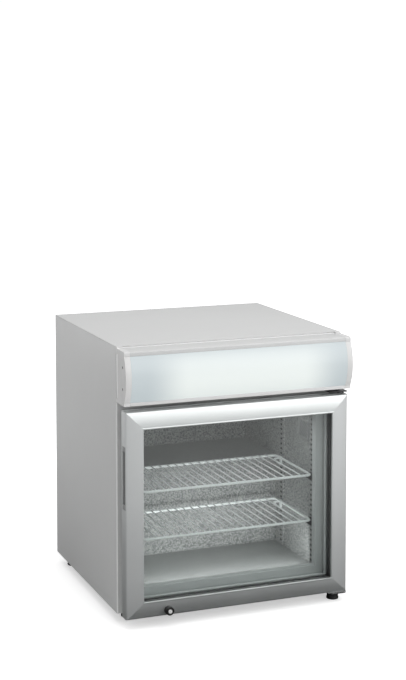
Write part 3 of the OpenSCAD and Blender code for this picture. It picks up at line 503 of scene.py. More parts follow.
def addTube(work, path, radius, count=10, closed=False):  # an open tube gets rounded ends
    tipShare, tipReach = 0.6, 0.7
    rings = []
    total = len(path)
    side = None
    for i, point in enumerate(path):
        before = path[i - 1] if (closed or i) else path[i]
        after = path[(i + 1) % total] if (closed or i < total - 1) else path[i]
        along = (after - before).normalized()
        if side is None:
            side = along.cross(Vector((0.13, 0.2, 1))).normalized()
        side = (side - along * side.dot(along)).normalized()
        rings.append(ringVerts(work, point, side, along.cross(side), radius, count))
    skin(work, rings, closed)
    if closed:
        return
    for ring, end, inner in ((rings[0], path[0], path[1]), (rings[-1], path[-1], path[-2])):
        outward = (end - inner).normalized() * radius * tipReach * mm
        tip = [work.verts.new(end + (v.co - end) * tipShare + outward) for v in ring]
        bridge(work, ring, tip)
        work.faces.new(tip)


def addRun(work, start, stop, radius, count=8):
    addTube(work, [start, (start + stop) / 2, stop], radius, count)


def axisFrame(axis):
    axis = Vector(axis).normalized()
    u = axis.orthogonal().normalized()
    return axis, u, axis.cross(u)


def addLathe(work, base, axis, profile, count=40, shape=None):  # profile: (radius, distance along the axis)
    axis, u, v = axisFrame(axis)
    rings = [ringVerts(work, base + axis * reach * mm, u, v, radius, count, shape)
             for radius, reach in profile]
    skin(work, rings, capped=True)


def addScrew(work, base, axis, radius=3.2, height=1.4):  # pan head with a cross recess
    axis, u, v = axisFrame(axis)

    def star(a):
        return 0.5 + 0.5 * abs(math.cos(2 * a)) ** 3
    rings = []
    for share, reach, shape in ((1.0, -0.3, None), (1.0, 0.35, None), (0.93, 0.7, None), (0.75, 0.95, None),
                                (0.58, 1.0, star), (0.5, 0.45, star)):
        rings.append(ringVerts(work, base + axis * height * reach * mm, u, v, radius * share, 32, shape))
    skin(work, rings, capped=True)


def rectangle(halfWidth, low, high):
    return (-halfWidth, low), (halfWidth, low), (halfWidth, high), (-halfWidth, high)


def addFrame(work, outline, cornersAt):  # outline: (inset, y), swept round a rectangle with mitred corners
    loops = [[work.verts.new(place(x, y, z)) for x, z in cornersAt(inset)] for inset, y in outline]
    skin(work, loops, closed=True)


for node, name in (("left_side_panel", "leftSideSheet"), ("right_side_panel", "rightSideSheet"),
                   ("top_panel", "topSheet")):
    softened(node, name, 0.5, 3)
for node, name in (("base_pan", "basePan"), ("upper_rear_panel", "upperRearSheet"),
                   ("upper_hinge_bracket", "upperHingePlate"), ("lower_hinge_bracket", "lowerHingePlate"),
                   ("lock_keeper", "lockKeeperPlate")):
    softened(node, name, 0.35)
softened("wall_vent", "probeCover", 0.35, 2, coverFinish)


def buildMouthFrame(work):  # moulded frame round the opening: a flat band, a soft inner edge and a reveal
    s = {"side": 29.0, "top": 26.0, "lip": 3.0, "thick": 2.5}
    low, high = boxOf("breaker_frame")
    band, deep = s["side"], high.y
    hollow = band - s["lip"]
    outline = [(0.0, s["thick"]), (0.0, 0.6), (0.6, 0.0), (band - 1.5, 0.0), (band - 0.6, 0.35), (band, 1.4),
               (band, deep - 0.4), (band - 0.4, deep), (hollow, deep), (hollow, s["thick"])]

    def cornersAt(inset):
        upright = inset * s["top"] / s["side"]
        return rectangle(high.x - inset, low.z + upright, high.z - upright)
    addFrame(work, outline, cornersAt)


finishPiece(newPiece("mouthFrame", buildMouthFrame), "root", "frame_plastic", ["breaker_frame"])


def buildRearScrews(work):
    s = {"panelInset": 8, "coverInsetX": 7, "coverInsetZ": 10}
    low, high = boxOf("upper_rear_panel")
    inset = s["panelInset"]
    for x in (low.x + inset, 0, high.x - inset):
        for z in (low.z + inset, (low.z + high.z) / 2, high.z - inset):
            if x or z != (low.z + high.z) / 2:
                addScrew(work, place(x, high.y, z), (0, 1, 0))
    low, high = boxOf("machine_cover")
    for x in (low.x + s["coverInsetX"], high.x - s["coverInsetX"]):
        for z in (low.z + s["coverInsetZ"], high.z - s["coverInsetZ"]):
            addScrew(work, place(x, high.y, z), (0, 1, 0))


finishPiece(newPiece("rearScrews", buildRearScrews), "root", "bright_steel")


def buildLouvres(work):  # pressed hoods over the cover's slots
    s = {"columns": 4, "rows": 12, "pitchX": 94, "pitchZ": 15, "startX": -244, "startZ": 28,
         "length": 78, "tall": 6, "reach": 3.6, "sheet": 0.8, "margin": 1.5, "above": 2.2, "over": 1.2,
         "stepsX": 12, "stepsZ": 5}
    face = boxOf("machine_cover")[1].y
    length = s["length"] + 2 * s["margin"]

    def hood(x0, z1, inset):
        grid = []
        for i in range(s["stepsX"] + 1):
            t = i / s["stepsX"]
            ends = max(0.0, 1 - abs(2 * t - 1) ** 7)
            line = []
            for k in range(s["stepsZ"] + 1):
                share = k / s["stepsZ"]
                rise = s["reach"] * math.sin(share * math.pi / 2) ** 0.8 * ends
                y = face + max(rise - inset, -0.3 if inset else 0.0)
                line.append(work.verts.new(place(x0 + length * t, y, z1 - share * (s["tall"] + s["over"]))))
            grid.append(line)
        bridgeGrid(work, grid)
        return grid

    for column in range(s["columns"]):
        for row in range(s["rows"]):
            x0 = s["startX"] + column * s["pitchX"] - s["margin"]
            z1 = s["startZ"] + row * s["pitchZ"] + s["tall"] + s["above"]
            outer, inner = hood(x0, z1, 0.0), hood(x0, z1, s["sheet"])
            bridge(work, [line[-1] for line in outer], [line[-1] for line in inner], False)


softened("machine_cover", "machineCover", 0.25, 1).data.shade_flat()
finishPiece(newPiece("louvreHoods", buildLouvres), "root", "galvanised_steel", smooth=50)


def buildControlPanel(work):
    s = {"screwInset": 5, "screwR": 2.6, "screwHeight": 1.2, "sink": 0.2}
    copyShape(work, "control_box", 0.5, 2)
    low, high = boxOf("control_box")
    for x in (low.x + s["screwInset"], high.x - s["screwInset"]):
        for z in (low.z + s["screwInset"], high.z - s["screwInset"]):
            addScrew(work, place(x, high.y - s["sink"], z), (0, 1, 0), s["screwR"], s["screwHeight"])


finishPiece(newPiece("controlPanel", buildControlPanel), "root", "black_plastic", ["control_box"])


def buildDialMarks(work):  # raised ticks round the temperature dial
    s = {"ticks": 10, "first": 225, "step": 30, "radius": 21.5, "long": 4.5, "short": 3.0,
         "halfWidth": 0.45, "lift": 0.35}
    low, high = boxOf("thermostat_knob")
    face = boxOf("control_box")[1].y
    center = place((low.x + high.x) / 2, face, (low.z + high.z) / 2)
    lift = Vector((0, s["lift"] * mm, 0))
    for i in range(s["ticks"]):
        a = math.radians(s["first"] - s["step"] * i)
        along = Vector((math.cos(a), 0, math.sin(a)))
        side = Vector((-along.z, 0, along.x)) * s["halfWidth"] * mm
        start = center + along * s["radius"] * mm
        stop = start + along * (s["long"] if i % 3 == 0 else s["short"]) * mm
        base = [work.verts.new(p) for p in (start - side, stop - side, stop + side, start + side)]
        skin(work, [base, [work.verts.new(v.co + lift) for v in base]], capped=True)


finishPiece(newPiece("dialMarks", buildDialMarks), "root", "white_plastic", smooth=0)
softened("thermostat_knob", "thermostatKnob", 0.5, 3)
softened("power_rocker", "powerRocker", 0.6, 3)
softened("light_rocker", "lightRocker", 0.6, 3)
softened("cord_gland", "cordGland")
print("cabinet dressed")

softened("sign_top_profile", "signTopProfile", 0.3, 2, finishes["cabinet_paint"])
softened("sign_bottom_profile", "signBottomProfile", 0.3)
for node, name in (("sign_left_cap", "signLeftCap"), ("sign_right_cap", "signRightCap")):
    softened(node, name, 0.5, 3)


def buildDiffuser(work):  # one bowed sheet, an arc from its lower to its upper edge
    s = {"bow": 13.0, "thick": 2.5, "rows": 28, "columns": 24}
    low, high = boxOf("sign_diffuser")
    half = (high.z - low.z) / 2
    middle = (high.z + low.z) / 2
    radius = (half * half + s["bow"] * s["bow"]) / (2 * s["bow"])
    rows = []
    for i in range(s["rows"] + 1):
        t = -1 + 2 * i / s["rows"]
        sag = radius - math.sqrt(radius * radius - (t * half) ** 2)
        rows.append((low.y + sag, middle + t * half))
    xs = [low.x + (high.x - low.x) * k / s["columns"] for k in range(s["columns"] + 1)]
    front = [[work.verts.new(place(x, y, z)) for x in xs] for y, z in rows]
    back = [[work.verts.new(place(x, min(y + s["thick"], high.y), z)) for x in xs] for y, z in rows]
    bridgeGrid(work, front)
    bridgeGrid(work, back)
    for line in (0, -1):
        bridge(work, front[line], back[line], False)
        bridge(work, [row[line] for row in front], [row[line] for row in back], False)


finishPiece(newPiece("opalDiffuser", buildDiffuser), "root", "opal_diffuser", ["sign_diffuser"])


def buildCapFlanges(work):  # painted highlight: sheet edge in each cap's slot, far paler than the cabinet's paint so it shows bright where it lies in shade
    s = {"from": 0.4, "to": 3.0, "front": -11.2, "rear": -3.2, "low": 10, "high": 127}
    low = boxOf("sign_left_cap")[0]
    right = boxOf("sign_right_cap")[1].x
    for x, side in ((low.x, -1), (right, 1)):
        a, b = sorted((x - side * s["from"], x - side * s["to"]))
        addBox(work, (a, s["front"], low.z + s["low"]), (b, s["rear"], low.z + s["high"]), 0.35)


def buildSeamBead(work):  # painted highlight: pale bead in the joint between the cabinet's top and the sign, paler than the paint to stand for the lit seam line
    s = {"inset": 0.5, "y": -2, "down": 0.9, "radius": 1.5}
    low, high = boxOf("sign_top_profile")
    z = high.z - s["down"]
    start = place(low.x + s["inset"], s["y"], z)
    addRun(work, start, place(high.x - s["inset"], s["y"], z), s["radius"], 10)


def buildFrontEdges(work):  # painted highlight: pale folded edge down each side of the cabinet's mouth, paler than the cabinet's paint so the shaded flange shows bright
    s = {"from": 0.1, "to": 2.9, "front": -1.4, "rear": 0.2, "low": 2, "underCap": 1.0}
    low = boxOf("left_side_panel")[0]
    right = boxOf("right_side_panel")[1].x
    top = boxOf("sign_left_cap")[0].z - s["underCap"]
    for x, side in ((low.x, -1), (right, 1)):
        a, b = sorted((x - side * s["from"], x - side * s["to"]))
        addBox(work, (a, s["front"], low.z + s["low"]), (b, s["rear"], top), 0.4)


finishPiece(newPiece("capFlanges", buildCapFlanges), "root", "white_plastic", material=paintedHighlightFinish)
finishPiece(newPiece("canopySeamBead", buildSeamBead), "root", "white_plastic", material=paintedHighlightFinish)
finishPiece(newPiece("frontEdgeFolds", buildFrontEdges), "root", "cabinet_paint", material=paintedHighlightFinish)


def buildCapScrews(work):
    s = {"y": -48, "inset": 3.4, "sink": 1.0, "length": 11, "shankR": 1.9, "headR": 3.2, "headHeight": 1.0}
    low, high = boxOf("sign_screws")
    for x, side in ((low.x, -1), (high.x, 1)):
        for z in (low.z + s["inset"], high.z - s["inset"]):
            seat = place(x - side * s["sink"], s["y"], z)
            addScrew(work, seat, (side, 0, 0), s["headR"], s["headHeight"])
            addTube(work, [seat, place(x - side * s["length"], s["y"], z)], s["shankR"], 12)


finishPiece(newPiece("signCapScrews", buildCapScrews), "root", "black_steel", ["sign_screws"])
print("sign dressed")


def arcPoints(center, radius, start, stop, steps, u=Vector((1, 0, 0)), v=Vector((0, 1, 0))):
    found = []
    for i in range(steps + 1):
        a = math.radians(start + (stop - start) * i / steps)
        found.append(center + (u * math.cos(a) + v * math.sin(a)) * radius * mm)
    return found


def buildShelf(node):
    low, high = boxOf(node)
    s = {"frameR": 3.0, "wireR": 1.6, "pitch": 20.6, "corner": 12.0, "wires": 9,
         "sink": 0.9, "dip": 0.6, "over": 1.2, "flat": 1.5}

    def build(work):
        r, c = s["frameR"], s["corner"]
        x1, y0, y1 = high.x - r, low.y + r, high.y - r
        z = low.z + r
        path = []
        for cx, cy, turn in ((x1 - c, y1 - c, 0), (-x1 + c, y1 - c, 90), (-x1 + c, y0 + c, 180),
                             (x1 - c, y0 + c, 270)):
            path += arcPoints(place(cx, cy, z), c, turn, turn + 90, 8)
        addTube(work, path, r, 16, True)
        top = z + r + s["wireR"] - s["sink"]
        for i in range(-s["wires"], s["wires"] + 1):
            line = ((y0 - s["over"], top - s["dip"]), (y0 + s["flat"], top), ((y0 + y1) / 2, top),
                    (y1 - s["flat"], top), (y1 + s["over"], top - s["dip"]))
            addTube(work, [place(i * s["pitch"], y, height) for y, height in line], s["wireR"])
    return build


for node, name in (("upper_shelf", "upperWireShelf"), ("lower_shelf", "lowerWireShelf")):
    finishPiece(newPiece(name, buildShelf(node)), "root", "white_wire", [node])

clipHeights = [boxOf("lower_shelf")[0].z, boxOf("upper_shelf")[0].z]
stripInner = boxOf("pilasters")[1].x - 3


def buildFrontClips(work):  # moulded brackets under the shelf's front corners
    s = {"root": 219.4, "front": 26, "rear": 38, "down": 13, "up": 5, "webRoot": 220, "webTip": 206,
         "webFront": 28.5, "webRear": 35.5, "tipDown": 3.2, "gap": 0.1}
    for side in (-1, 1):
        a, b = sorted((side * stripInner, side * s["root"]))
        for top in clipHeights:
            addBox(work, (a, s["front"], top - s["down"]), (b, s["rear"], top + s["up"]), 0.5)
            web = ((s["webRoot"], top - s["down"]), (s["webTip"], top - s["tipDown"]),
                   (s["webTip"], top - s["gap"]), (s["webRoot"], top - s["gap"]))
            skin(work, [[work.verts.new(place(side * x, y, z)) for x, z in web]
                        for y in (s["webFront"], s["webRear"])], capped=True)


def buildRearClips(work):  # bent wire loops that hook into the rear strips
    s = {"wires": (206.5, 213.5), "wireR": 1.2, "wall": 224.5, "start": 4, "stop": 2,
         "heelX": 221, "heelDown": 13.5, "heelR": 3.5, "toeX": 209.5, "toeDown": 4.6, "toeR": 2.6,
         "back": 218, "plate": (222.6, 225), "plateFront": 204, "plateRear": 216, "plateDown": 17,
         "plateUp": 3}
    up = Vector((0, 0, 1))
    for side in (-1, 1):
        inward = Vector((-side, 0, 0))
        a, b = sorted(side * x for x in s["plate"])
        for top in clipHeights:
            for y in s["wires"]:
                heel = place(side * s["heelX"], y, top - s["heelDown"])
                toe = place(side * s["toeX"], y, top - s["toeDown"])
                loop = [place(side * s["wall"], y, top - s["start"])]
                loop += arcPoints(heel, s["heelR"], 200, 330, 5, inward, up)
                loop += arcPoints(toe, s["toeR"], 320, 450, 5, inward, up)
                loop += [place(side * x, y, top - s["stop"]) for x in (s["back"], s["wall"])]
                addTube(work, loop, s["wireR"], 8)
            corner = (b, s["plateRear"], top + s["plateUp"])
            addBox(work, (a, s["plateFront"], top - s["plateDown"]), corner, 0.4)


finishPiece(newPiece("frontShelfClips", buildFrontClips), "root", "black_plastic", ["shelf_clips"])
finishPiece(newPiece("rearShelfLoops", buildRearClips), "root", "white_wire")


def buildLinerHems(work):  # folded seams where the liner's sheets meet
    s = {"sheet": 1, "broad": 1.1, "slim": 0.9, "front": 22, "rear": 249, "ledge": 272, "upperRear": 449,
         "roof": 438}
    low, high = boxOf("inner_liner")
    wall = high.x - s["sheet"]
    floor = low.z + s["sheet"]
    for y, z, radius in ((s["rear"] - 0.4, floor + 0.6, s["broad"]),
                         (s["rear"] + 1.6, s["ledge"] + 0.3, s["slim"]),
                         (s["upperRear"] - 0.4, s["ledge"] + 0.8, s["broad"])):
        addRun(work, place(1 - wall, y, z), place(wall - 1, y, z), radius)
    for side in (-1, 1):
        x = side * (wall - 0.6)
        for start, stop in (((s["front"], floor + 0.6), (s["rear"] - 1, floor + 0.6)),
                            ((s["rear"], floor + 1), (s["rear"], s["ledge"] - 1)),
                            ((s["upperRear"], s["ledge"] + 1), (s["upperRear"], s["roof"]))):
            addRun(work, place(x, *start), place(x, *stop), s["slim"])


finishPiece(newPiece("linerHems", buildLinerHems), "root", "embossed_liner")


def buildSlotShadows(work):  # painted shade: dark plates inside the strips' slots and behind the probe cover, where there is only shade
    s = {"pitch": 12.5, "first": 59.0, "wide": 4.95, "tall": 2.25, "face": 2.85, "depth": 0.6,
         "stripHalf": 14, "coverFrom": 0.12, "coverTo": 0.6, "coverInset": 4}
    low, high = boxOf("pilasters")
    count = int((high.z - s["first"]) / s["pitch"])
    for y in (low.y + s["stripHalf"], high.y - s["stripHalf"]):
        for k in range(count + 1):
            z = s["first"] + s["pitch"] * k
            for side in (-1, 1):
                a, b = sorted((side * (high.x - s["face"]), side * (high.x - s["face"] + s["depth"])))
                addBox(work, (a, y - s["wide"], z - s["tall"]), (b, y + s["wide"], z + s["tall"]))
    low, high = boxOf("wall_vent")
    inset = s["coverInset"]
    addBox(work, (low.x + s["coverFrom"], low.y + inset, low.z + inset),
           (low.x + s["coverTo"], high.y - inset, high.z - inset))


finishPiece(newPiece("slotShadows", buildSlotShadows), "root", "black_plastic", smooth=0)
print("shelves dressed")

stileLow, stileHigh = boxOf("door_left_stile")
gripLow, gripHigh = boxOf("grip_insert")
doorSettings = {
    "halfWidth": boxOf("door_top_rail")[1].x, "low": stileLow.z, "high": stileHigh.z,
    "rail": 42.0, "bottomRail": 38.0, "lipFront": -59.0, "lip": 3.5, "glass": -53.0, "rear": -25.0,
    "bow": 150.0, "edge": 5.0, "gap": 0.07, "innerWall": 10, "bowSteps": 16, "edgeSteps": 8,
    "gripLow": gripLow.z - 0.2, "gripHigh": gripHigh.z + 0.2, "gripDeep": 22.3, "gripFront": -51,
    "gripRear": -31.0, "grooves": (-46.0, -33.0), "rearGroove": -29.5,
}
grooveProfile = ((0.0, 0.0), (0.5, 0.15), (0.5, 0.85), (0.0, 1.0))  # (depth, y) across a groove


def railProfile(width):  # (inset, y, inset inside the grip's pocket), once round the section
    s = doorSettings
    arcX = width - s["lip"]
    arcY = s["lipFront"] + 0.4 + s["bow"]
    inner, across = s["bow"] - s["edge"], arcX - s["edge"]
    edgeY = arcY - math.sqrt(inner ** 2 - across ** 2)
    points = [(width, s["glass"]), (width, s["lipFront"] + 0.5), (width - 0.15, s["lipFront"] + 0.15),
              (width - 0.5, s["lipFront"]), (arcX + 0.5, s["lipFront"]), (arcX + 0.1, s["lipFront"] + 0.15),
              (arcX, s["lipFront"] + 0.4)]
    startX = s["edge"] - s["edge"] * across / inner
    for i in range(1, s["bowSteps"] + 1):
        x = arcX + (startX - arcX) * i / s["bowSteps"]
        points.append((x, arcY - math.sqrt(s["bow"] ** 2 - (x - arcX) ** 2)))
    begin = math.atan2(math.sqrt(inner ** 2 - across ** 2), across)
    for i in range(1, s["edgeSteps"] + 1):
        a = begin * (1 - i / s["edgeSteps"])
        points.append((s["edge"] - s["edge"] * math.cos(a), edgeY - s["edge"] * math.sin(a)))
    cut = next(i for i, (x, y) in enumerate(points) if i > 8 and y > s["gripFront"])
    profile = [(x, y, x) for x, y in points[:cut]]
    profile += [(x, y, s["gripDeep"]) for x, y in points[cut - 1:]]
    for start in s["grooves"]:
        profile += [(x, start + dy, s["gripDeep"]) for x, dy in grooveProfile]
    profile += [(0.0, s["gripRear"], s["gripDeep"]), (0.0, s["gripRear"], 0.0)]
    profile += [(x, s["rearGroove"] + dy, x) for x, dy in grooveProfile]
    wall = width - s["innerWall"]
    back = ((0.0, s["rear"] - 0.4), (0.4, s["rear"]), (wall, s["rear"]), (wall, s["glass"]))
    return profile + [(x, y, x) for x, y in back]


def buildRail(side):
    s = doorSettings
    lean = s["rail"] / s["bottomRail"]

    def uprightVert(stop, u, y):
        heights = {
            "start": s["low"] + u * s["bottomRail"] / s["rail"] + s["gap"],
            "low": s["gripLow"], "lowIn": s["gripLow"],
            "highIn": s["gripHigh"], "high": s["gripHigh"],
            "stop": s["high"] - u - s["gap"],
        }
        x = s["halfWidth"] - u
        return place(-x if side == "left" else x, y, heights[stop])

    def levelVert(stop, u, y):
        run = u * (lean if side == "bottom" else 1) + s["gap"]
        x = s["halfWidth"] - run
        return place(-x if stop == "start" else x, y, s["low"] + u if side == "bottom" else s["high"] - u)

    def build(work):
        vert = uprightVert if side in ("left", "right") else levelVert
        profile = railProfile(s["bottomRail"] if side == "bottom" else s["rail"])
        stops = ("start", "low", "lowIn", "highIn", "high", "stop") if side == "left" else ("start", "stop")
        rings = []
        for stop in stops:
            rings.append([work.verts.new(vert(stop, pocket if stop.endswith("In") else inset, y))
                          for inset, y, pocket in profile])
        skin(work, rings, capped=True)
    return build


for side, node, finish in (("top", "door_top_rail", None), ("bottom", "door_bottom_rail", None),
                           ("left", "door_left_stile", uprightAnodised),
                           ("right", "door_right_stile", uprightAnodised)):
    rail = newPiece(side + "DoorRail", buildRail(side))
    finishPiece(rail, "door", "anodised_frame", [node], finish, 25)

softened("door_inner_frame", "doorInnerFrame", 0.5)
softened("grip_insert", "gripInsert", 0.8, 3, coverFinish)
softened("hinge_bushes", "hingeBushes", 0.3)


def buildGasket(work):  # magnetic gasket: base strip, bellows and a soft head
    s = doorSettings
    outline = [(20, -12), (34, -12), (34, -9.8), (32.6, -9.0), (31.0, -8.2), (32.4, -7.2),
               (33.6, -6.4), (32.6, -5.6), (31.2, -5.0), (31.6, -3.4), (31.4, -1.4), (30.6, -0.6),
               (29.2, -0.4), (24.8, -0.4), (23.4, -0.6), (22.6, -1.4), (22.4, -3.4), (22.8, -5.0),
               (21.4, -5.6), (20.4, -6.4), (21.6, -7.2), (23.0, -8.2), (21.4, -9.0), (20, -9.8)]
    addFrame(work, outline, lambda inset: rectangle(
        s["halfWidth"] - inset, s["low"] + inset, s["high"] - inset))


finishPiece(newPiece("doorGasket", buildGasket), "door", "gasket_rubber", ["door_gasket"], smooth=50)

spacerLow, spacerHigh = boxOf("glass_spacers")
daylight = doorSettings["halfWidth"] - doorSettings["rail"]
spacerFace = spacerHigh.x - daylight


def buildSpacers(work):  # two hollow bars between the panes
    secondBar = 14
    face = spacerFace
    section = ((0, 0.1), (face - 1.2, 0.1), (face - 0.3, 0.8), (face, 2.0), (face - 0.4, 3.0),
               (face - 0.4, 7.0), (face, 8.0), (face - 0.3, 9.2), (face - 1.2, 9.9), (0, 9.9))
    for back in (spacerLow.y, spacerLow.y + secondBar):
        addFrame(work, [(inset, back + y) for inset, y in section], lambda inset: rectangle(
            spacerHigh.x - inset, spacerLow.z + inset, spacerHigh.z - inset))


def buildSpacerDots(work):  # the row of small breather holes along each bar
    s = {"rows": (5.0, 19.0), "pitch": 5.0, "first": 6, "last": 5, "sink": 0.35}
    dot = [(0.9, 0), (0.9, 0.2), (0.6, 0.3)]
    low, high = spacerLow.z + spacerFace, spacerHigh.z - spacerFace
    for y in (spacerLow.y + row for row in s["rows"]):
        for side in (-1, 1):
            z = low + s["first"]
            while z < high - s["last"]:
                addLathe(work, place(side * (daylight + s["sink"]), y, z), (-side, 0, 0), dot, 6)
                z += s["pitch"]
        x = s["first"] - daylight
        while x < daylight - s["last"]:
            addLathe(work, place(x, y, low - s["sink"]), (0, 0, 1), dot, 6)
            addLathe(work, place(x, y, high + s["sink"]), (0, 0, -1), dot, 6)
            x += s["pitch"]


def buildBead(work):  # bead that closes the glazing behind the inner pane
    s = doorSettings
    inset = s["rail"]
    outline = [(inset - 1.5, -20.9), (inset + 0.6, -20.9), (inset + 0.9, -20.4), (inset + 0.9, -12.3),
               (inset + 0.6, -11.8), (inset - 4.0, -11.8), (inset - 4.0, -12.1), (inset - 0.1, -12.1),
               (inset - 0.1, -20.5), (inset - 1.5, -20.5)]
    addFrame(work, outline, lambda u: rectangle(
        s["halfWidth"] - u, s["low"] + u - s["rail"] + s["bottomRail"], s["high"] - u))


finishPiece(newPiece("glazingBead", buildBead), "door", "frame_plastic", smooth=0)
finishPiece(newPiece("glassSpacers", buildSpacers), "door", "black_steel", ["glass_spacers"], spacerFinish)
finishPiece(newPiece("spacerBreathers", buildSpacerDots), "door", "coil_aluminium", smooth=0)
print("door dressed")


def buildLockBarrel(work):
    low, high = boxOf("lock_barrel")
    length = high.y - low.y
    shoulder = length - 29
    profile = [(4.6, 14), (4.6, 1.2), (5.4, 0.9), (6.6, 1.3), (7.4, 0.7), (8.4, 0.2), (9.3, 0.5), (9.9, 1.3),
               (10, 2.4), (10, 17), (9.4, 17.4), (9.4, 18.2), (10, 18.6), (10, shoulder), (6, shoulder),
               (6, length), (4.6, length)]
    face = place((low.x + high.x) / 2, low.y, (low.z + high.z) / 2)
    right, back, up = Matrix.Identity(3)
    rings = [ringVerts(work, face + back * reach * mm, right, up, radius, 48) for radius, reach in profile]
    skin(work, rings, closed=True)


finishPiece(newPiece("lockBarrel", buildLockBarrel), "door", "black_plastic", ["lock_barrel"])
softened("lock_plug", "lockPlug", 0.3, 2, plugFinish)
softened("lock_cam", "lockCam", 0.25)


def buildPivotPlate(work):  # steel plate under the door's corner, round the lower pin
    s = {"length": 48, "inset": 1.0, "front": -55, "rear": -23, "low": -1.0, "high": 0.95}
    right = boxOf("lower_hinge_bracket")[1].x
    corner = (right - s["inset"], s["rear"], s["high"])
    addBox(work, (right - s["length"], s["front"], s["low"]), corner, 0.3)


finishPiece(newPiece("doorPivotPlate", buildPivotPlate), "door", "bright_steel")


def buildHingePins(work):
    s = {"x": 270, "y": -38, "upperFrom": 471, "plate": 3}
    foot = boxOf("hinge_pins")[0].z
    top = boxOf("upper_hinge_bracket")[0].z + s["plate"]
    for base, profile in (
            (s["upperFrom"], [(3.4, 0), (4, 0.8), (4, top - s["upperFrom"])]),
            (top, [(6.2, 0), (6.5, 0.3), (6.5, 1.6), (5.6, 2.4), (0.2, 2.5)]),
            (foot, [(3.7, 0), (4, 0.3), (4, 20.4), (3.4, 21)]),
            (foot + s["plate"], [(6.7, 0), (7, 0.3), (7, 1.9), (6.7, 2.2)])):
        addLathe(work, place(s["x"], s["y"], base), (0, 0, 1), profile, 32)


finishPiece(newPiece("hingePins", buildHingePins), "root", "galvanised_steel", ["hinge_pins"])


def buildFoot(node):
    low, high = boxOf(node)
    s = {"body": 18.7, "bodyR": 13.9, "rimR": 15, "threadR": 3.98, "rootR": 3.55, "pitch": 1.25}
    stud = high.z - low.z

    def scallop(a):
        return 1 - 0.022 * (0.5 + 0.5 * math.cos(16 * a))

    def build(work):
        base = place((low.x + high.x) / 2, (low.y + high.y) / 2, low.z)
        cup = [(13.6, 0), (14.4, 0.25), (s["rimR"], 1.0), (s["rimR"], 4.2), (14.3, 5.2), (s["bodyR"], 6.2),
               (s["bodyR"], 16.4), (13.4, 17.6), (12.4, 18.4), (11.2, s["body"])]
        addLathe(work, base, (0, 0, 1), cup, 64, scallop)
        thread = []
        reach = s["body"] - 0.2
        while reach < stud - s["pitch"]:
            thread += [(s["rootR"], reach), (s["threadR"], reach + s["pitch"] * 0.4),
                       (s["threadR"], reach + s["pitch"] * 0.6)]
            reach += s["pitch"]
        thread += [(s["rootR"], reach), (3.4, stud)]
        addLathe(work, base, (0, 0, 1), thread, 24)
    return build


for corner in ("front_left", "front_right", "rear_left", "rear_right"):
    node = corner + "_foot"
    end, side = corner.split("_")
    finishPiece(newPiece(end + side.title() + "Foot", buildFoot(node)), corner + "_leveller",
                "black_plastic", [node])
print("lock, hinges and feet dressed")

stageSettings = {"floor": 0.86, "reflectedFloorDark": 0.06, "skyLight": 0.37, "skyGloss": 0.76, "skySeen": 1.02,
                 "size": 14.0, "fadeFrom": 0.30, "fadeTo": 1.0, "lift": 0.50,
                 "glossFrom": 0.45, "glossTo": 1.9, "glossFar": 0.52}


def makeFloor():  # white paper that fades into the sky; painted reflection: glossy rays see it dark near the object, lighter farther off
    s = stageSettings
    mesh = bpy.data.meshes.new("studioFloor")
    half = s["size"]
    corners = [(-half, -half, 0), (half, -half, 0), (half, half, 0), (-half, half, 0)]
    mesh.from_pydata(corners, [], [(0, 1, 2, 3)])
    floor = bpy.data.objects.new("studioFloor", mesh)
    scene.collection.objects.link(floor)
    material, tree, shader = newMaterial("studioFloorPaper")
    shader.inputs["Roughness"].default_value = 0.9
    shader.inputs["Specular IOR Level"].default_value = 0.0
    path = addNode(tree, "LightPath")
    color = mixColor(tree, path.outputs["Is Glossy Ray"], gray(s["floor"]), gray(s["reflectedFloorDark"]))
    tree.links.new(color, shader.inputs["Base Color"])
    position = addNode(tree, "NewGeometry").outputs["Position"]
    reach = addNode(tree, "VectorMath", {0: position}, operation="LENGTH").outputs["Value"]
    fade = addNode(tree, "MapRange", {0: reach, 1: s["fadeFrom"], 2: s["fadeTo"], 3: s["lift"], 4: 1.0},
                   interpolation_type="SMOOTHSTEP").outputs[0]
    fade = calc(tree, "MULTIPLY", fade, path.outputs["Is Camera Ray"])
    # painted reflection: the floor seen in reflections brightens with distance from the object
    shine = addNode(tree, "MapRange", {0: reach, 1: s["glossFrom"], 2: s["glossTo"], 3: 0.0,
                                       4: s["glossFar"]}).outputs[0]
    fade = calc(tree, "MULTIPLY_ADD", shine, path.outputs["Is Glossy Ray"], fade)
    shader.inputs["Emission Color"].default_value = (1, 1, 1, 1)
    tree.links.new(fade, shader.inputs["Emission Strength"])
    mesh.materials.append(material)


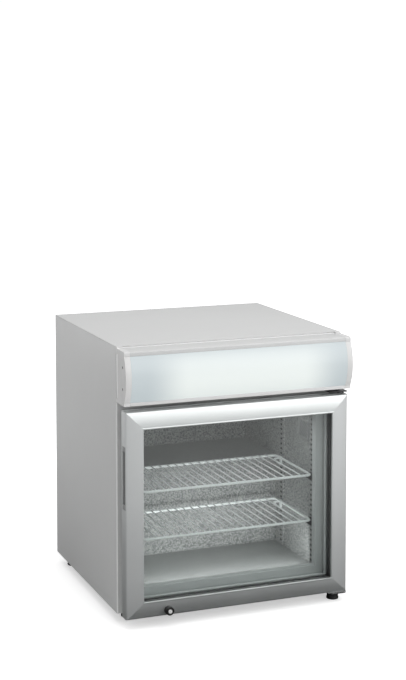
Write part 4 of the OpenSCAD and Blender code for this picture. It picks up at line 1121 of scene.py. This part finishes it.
def makeSky():
    s = stageSettings
    world = bpy.data.worlds.new("studioSky")
    world.use_nodes = True
    scene.world = world
    tree = world.node_tree
    background = tree.nodes["Background"]
    path = addNode(tree, "LightPath")
    base = s["skyLight"]
    level = calc(tree, "MULTIPLY_ADD", path.outputs["Is Glossy Ray"], s["skyGloss"] - base, base)
    level = calc(tree, "MULTIPLY_ADD", path.outputs["Is Camera Ray"], s["skySeen"] - base, level)
    tree.links.new(level, background.inputs["Strength"])
    background.inputs["Color"].default_value = (1, 1, 1, 1)


lights = {
    "overheadSoftbox": {"at": (0.0, -0.4, 2.5), "aim": (0, 0, 0.3), "size": (2.8, 2.8), "power": 30,
                        "gloss": False},
    "frontRightSoftbox": {"at": (2.0, -2.6, 1.5), "aim": (0, 0, 0.35), "size": (2.4, 2.4), "power": 27.5},
    "frontHighSoftbox": {"at": (0.0, -2.6, 1.9), "aim": (0, 0, 0.3), "size": (3.0, 2.0), "power": 21},
    "rearLeftSoftbox": {"at": (-1.1, 1.3, 0.8), "aim": (-0.25, 0.2, 0.3), "size": (0.8, 0.8), "power": 3.3},
    "mouthFill": {"at": place(0, 36, 95), "aim": place(0, 250, 85), "size": (0.42, 0.08), "power": 0.64,
                  "gloss": False},
    "roofFill": {"at": place(0, 60, 425), "aim": place(0, 130, 60), "size": (0.40, 0.08), "power": 0.25,
                 "gloss": False},
}


def makeLights():
    for name, s in lights.items():
        data = bpy.data.lights.new(name, "AREA")
        data.shape = "RECTANGLE"
        data.size, data.size_y = s["size"]
        data.energy = s["power"]
        lamp = bpy.data.objects.new(name, data)
        lamp.visible_glossy = lamp.visible_camera = s.get("gloss", True)
        lamp.location = s["at"]
        lamp.rotation_euler = (Vector(s["aim"]) - Vector(s["at"])).to_track_quat("-Z", "Y").to_euler()
        scene.collection.objects.link(lamp)


cameraSettings = {"at": (-1355.2, -3265.7, 1242.6), "turn": 21.474, "dip": 4.659, "lens": 80.35,
                  "shiftY": -0.2059}


def makeCamera():
    s = cameraSettings
    data = bpy.data.cameras.new("studioCamera")
    data.lens = s["lens"]
    data.sensor_width = 36
    data.shift_y = s["shiftY"]
    data.clip_end = 50
    camera = bpy.data.objects.new("studioCamera", data)
    camera.location = place(*s["at"])
    camera.rotation_euler = (math.radians(90 - s["dip"]), 0, math.radians(-s["turn"]))
    scene.collection.objects.link(camera)
    scene.camera = camera


makeFloor()
makeSky()
makeLights()
makeCamera()
scene.view_settings.view_transform = "Standard"
print("stage set")

bpy.context.view_layer.update()
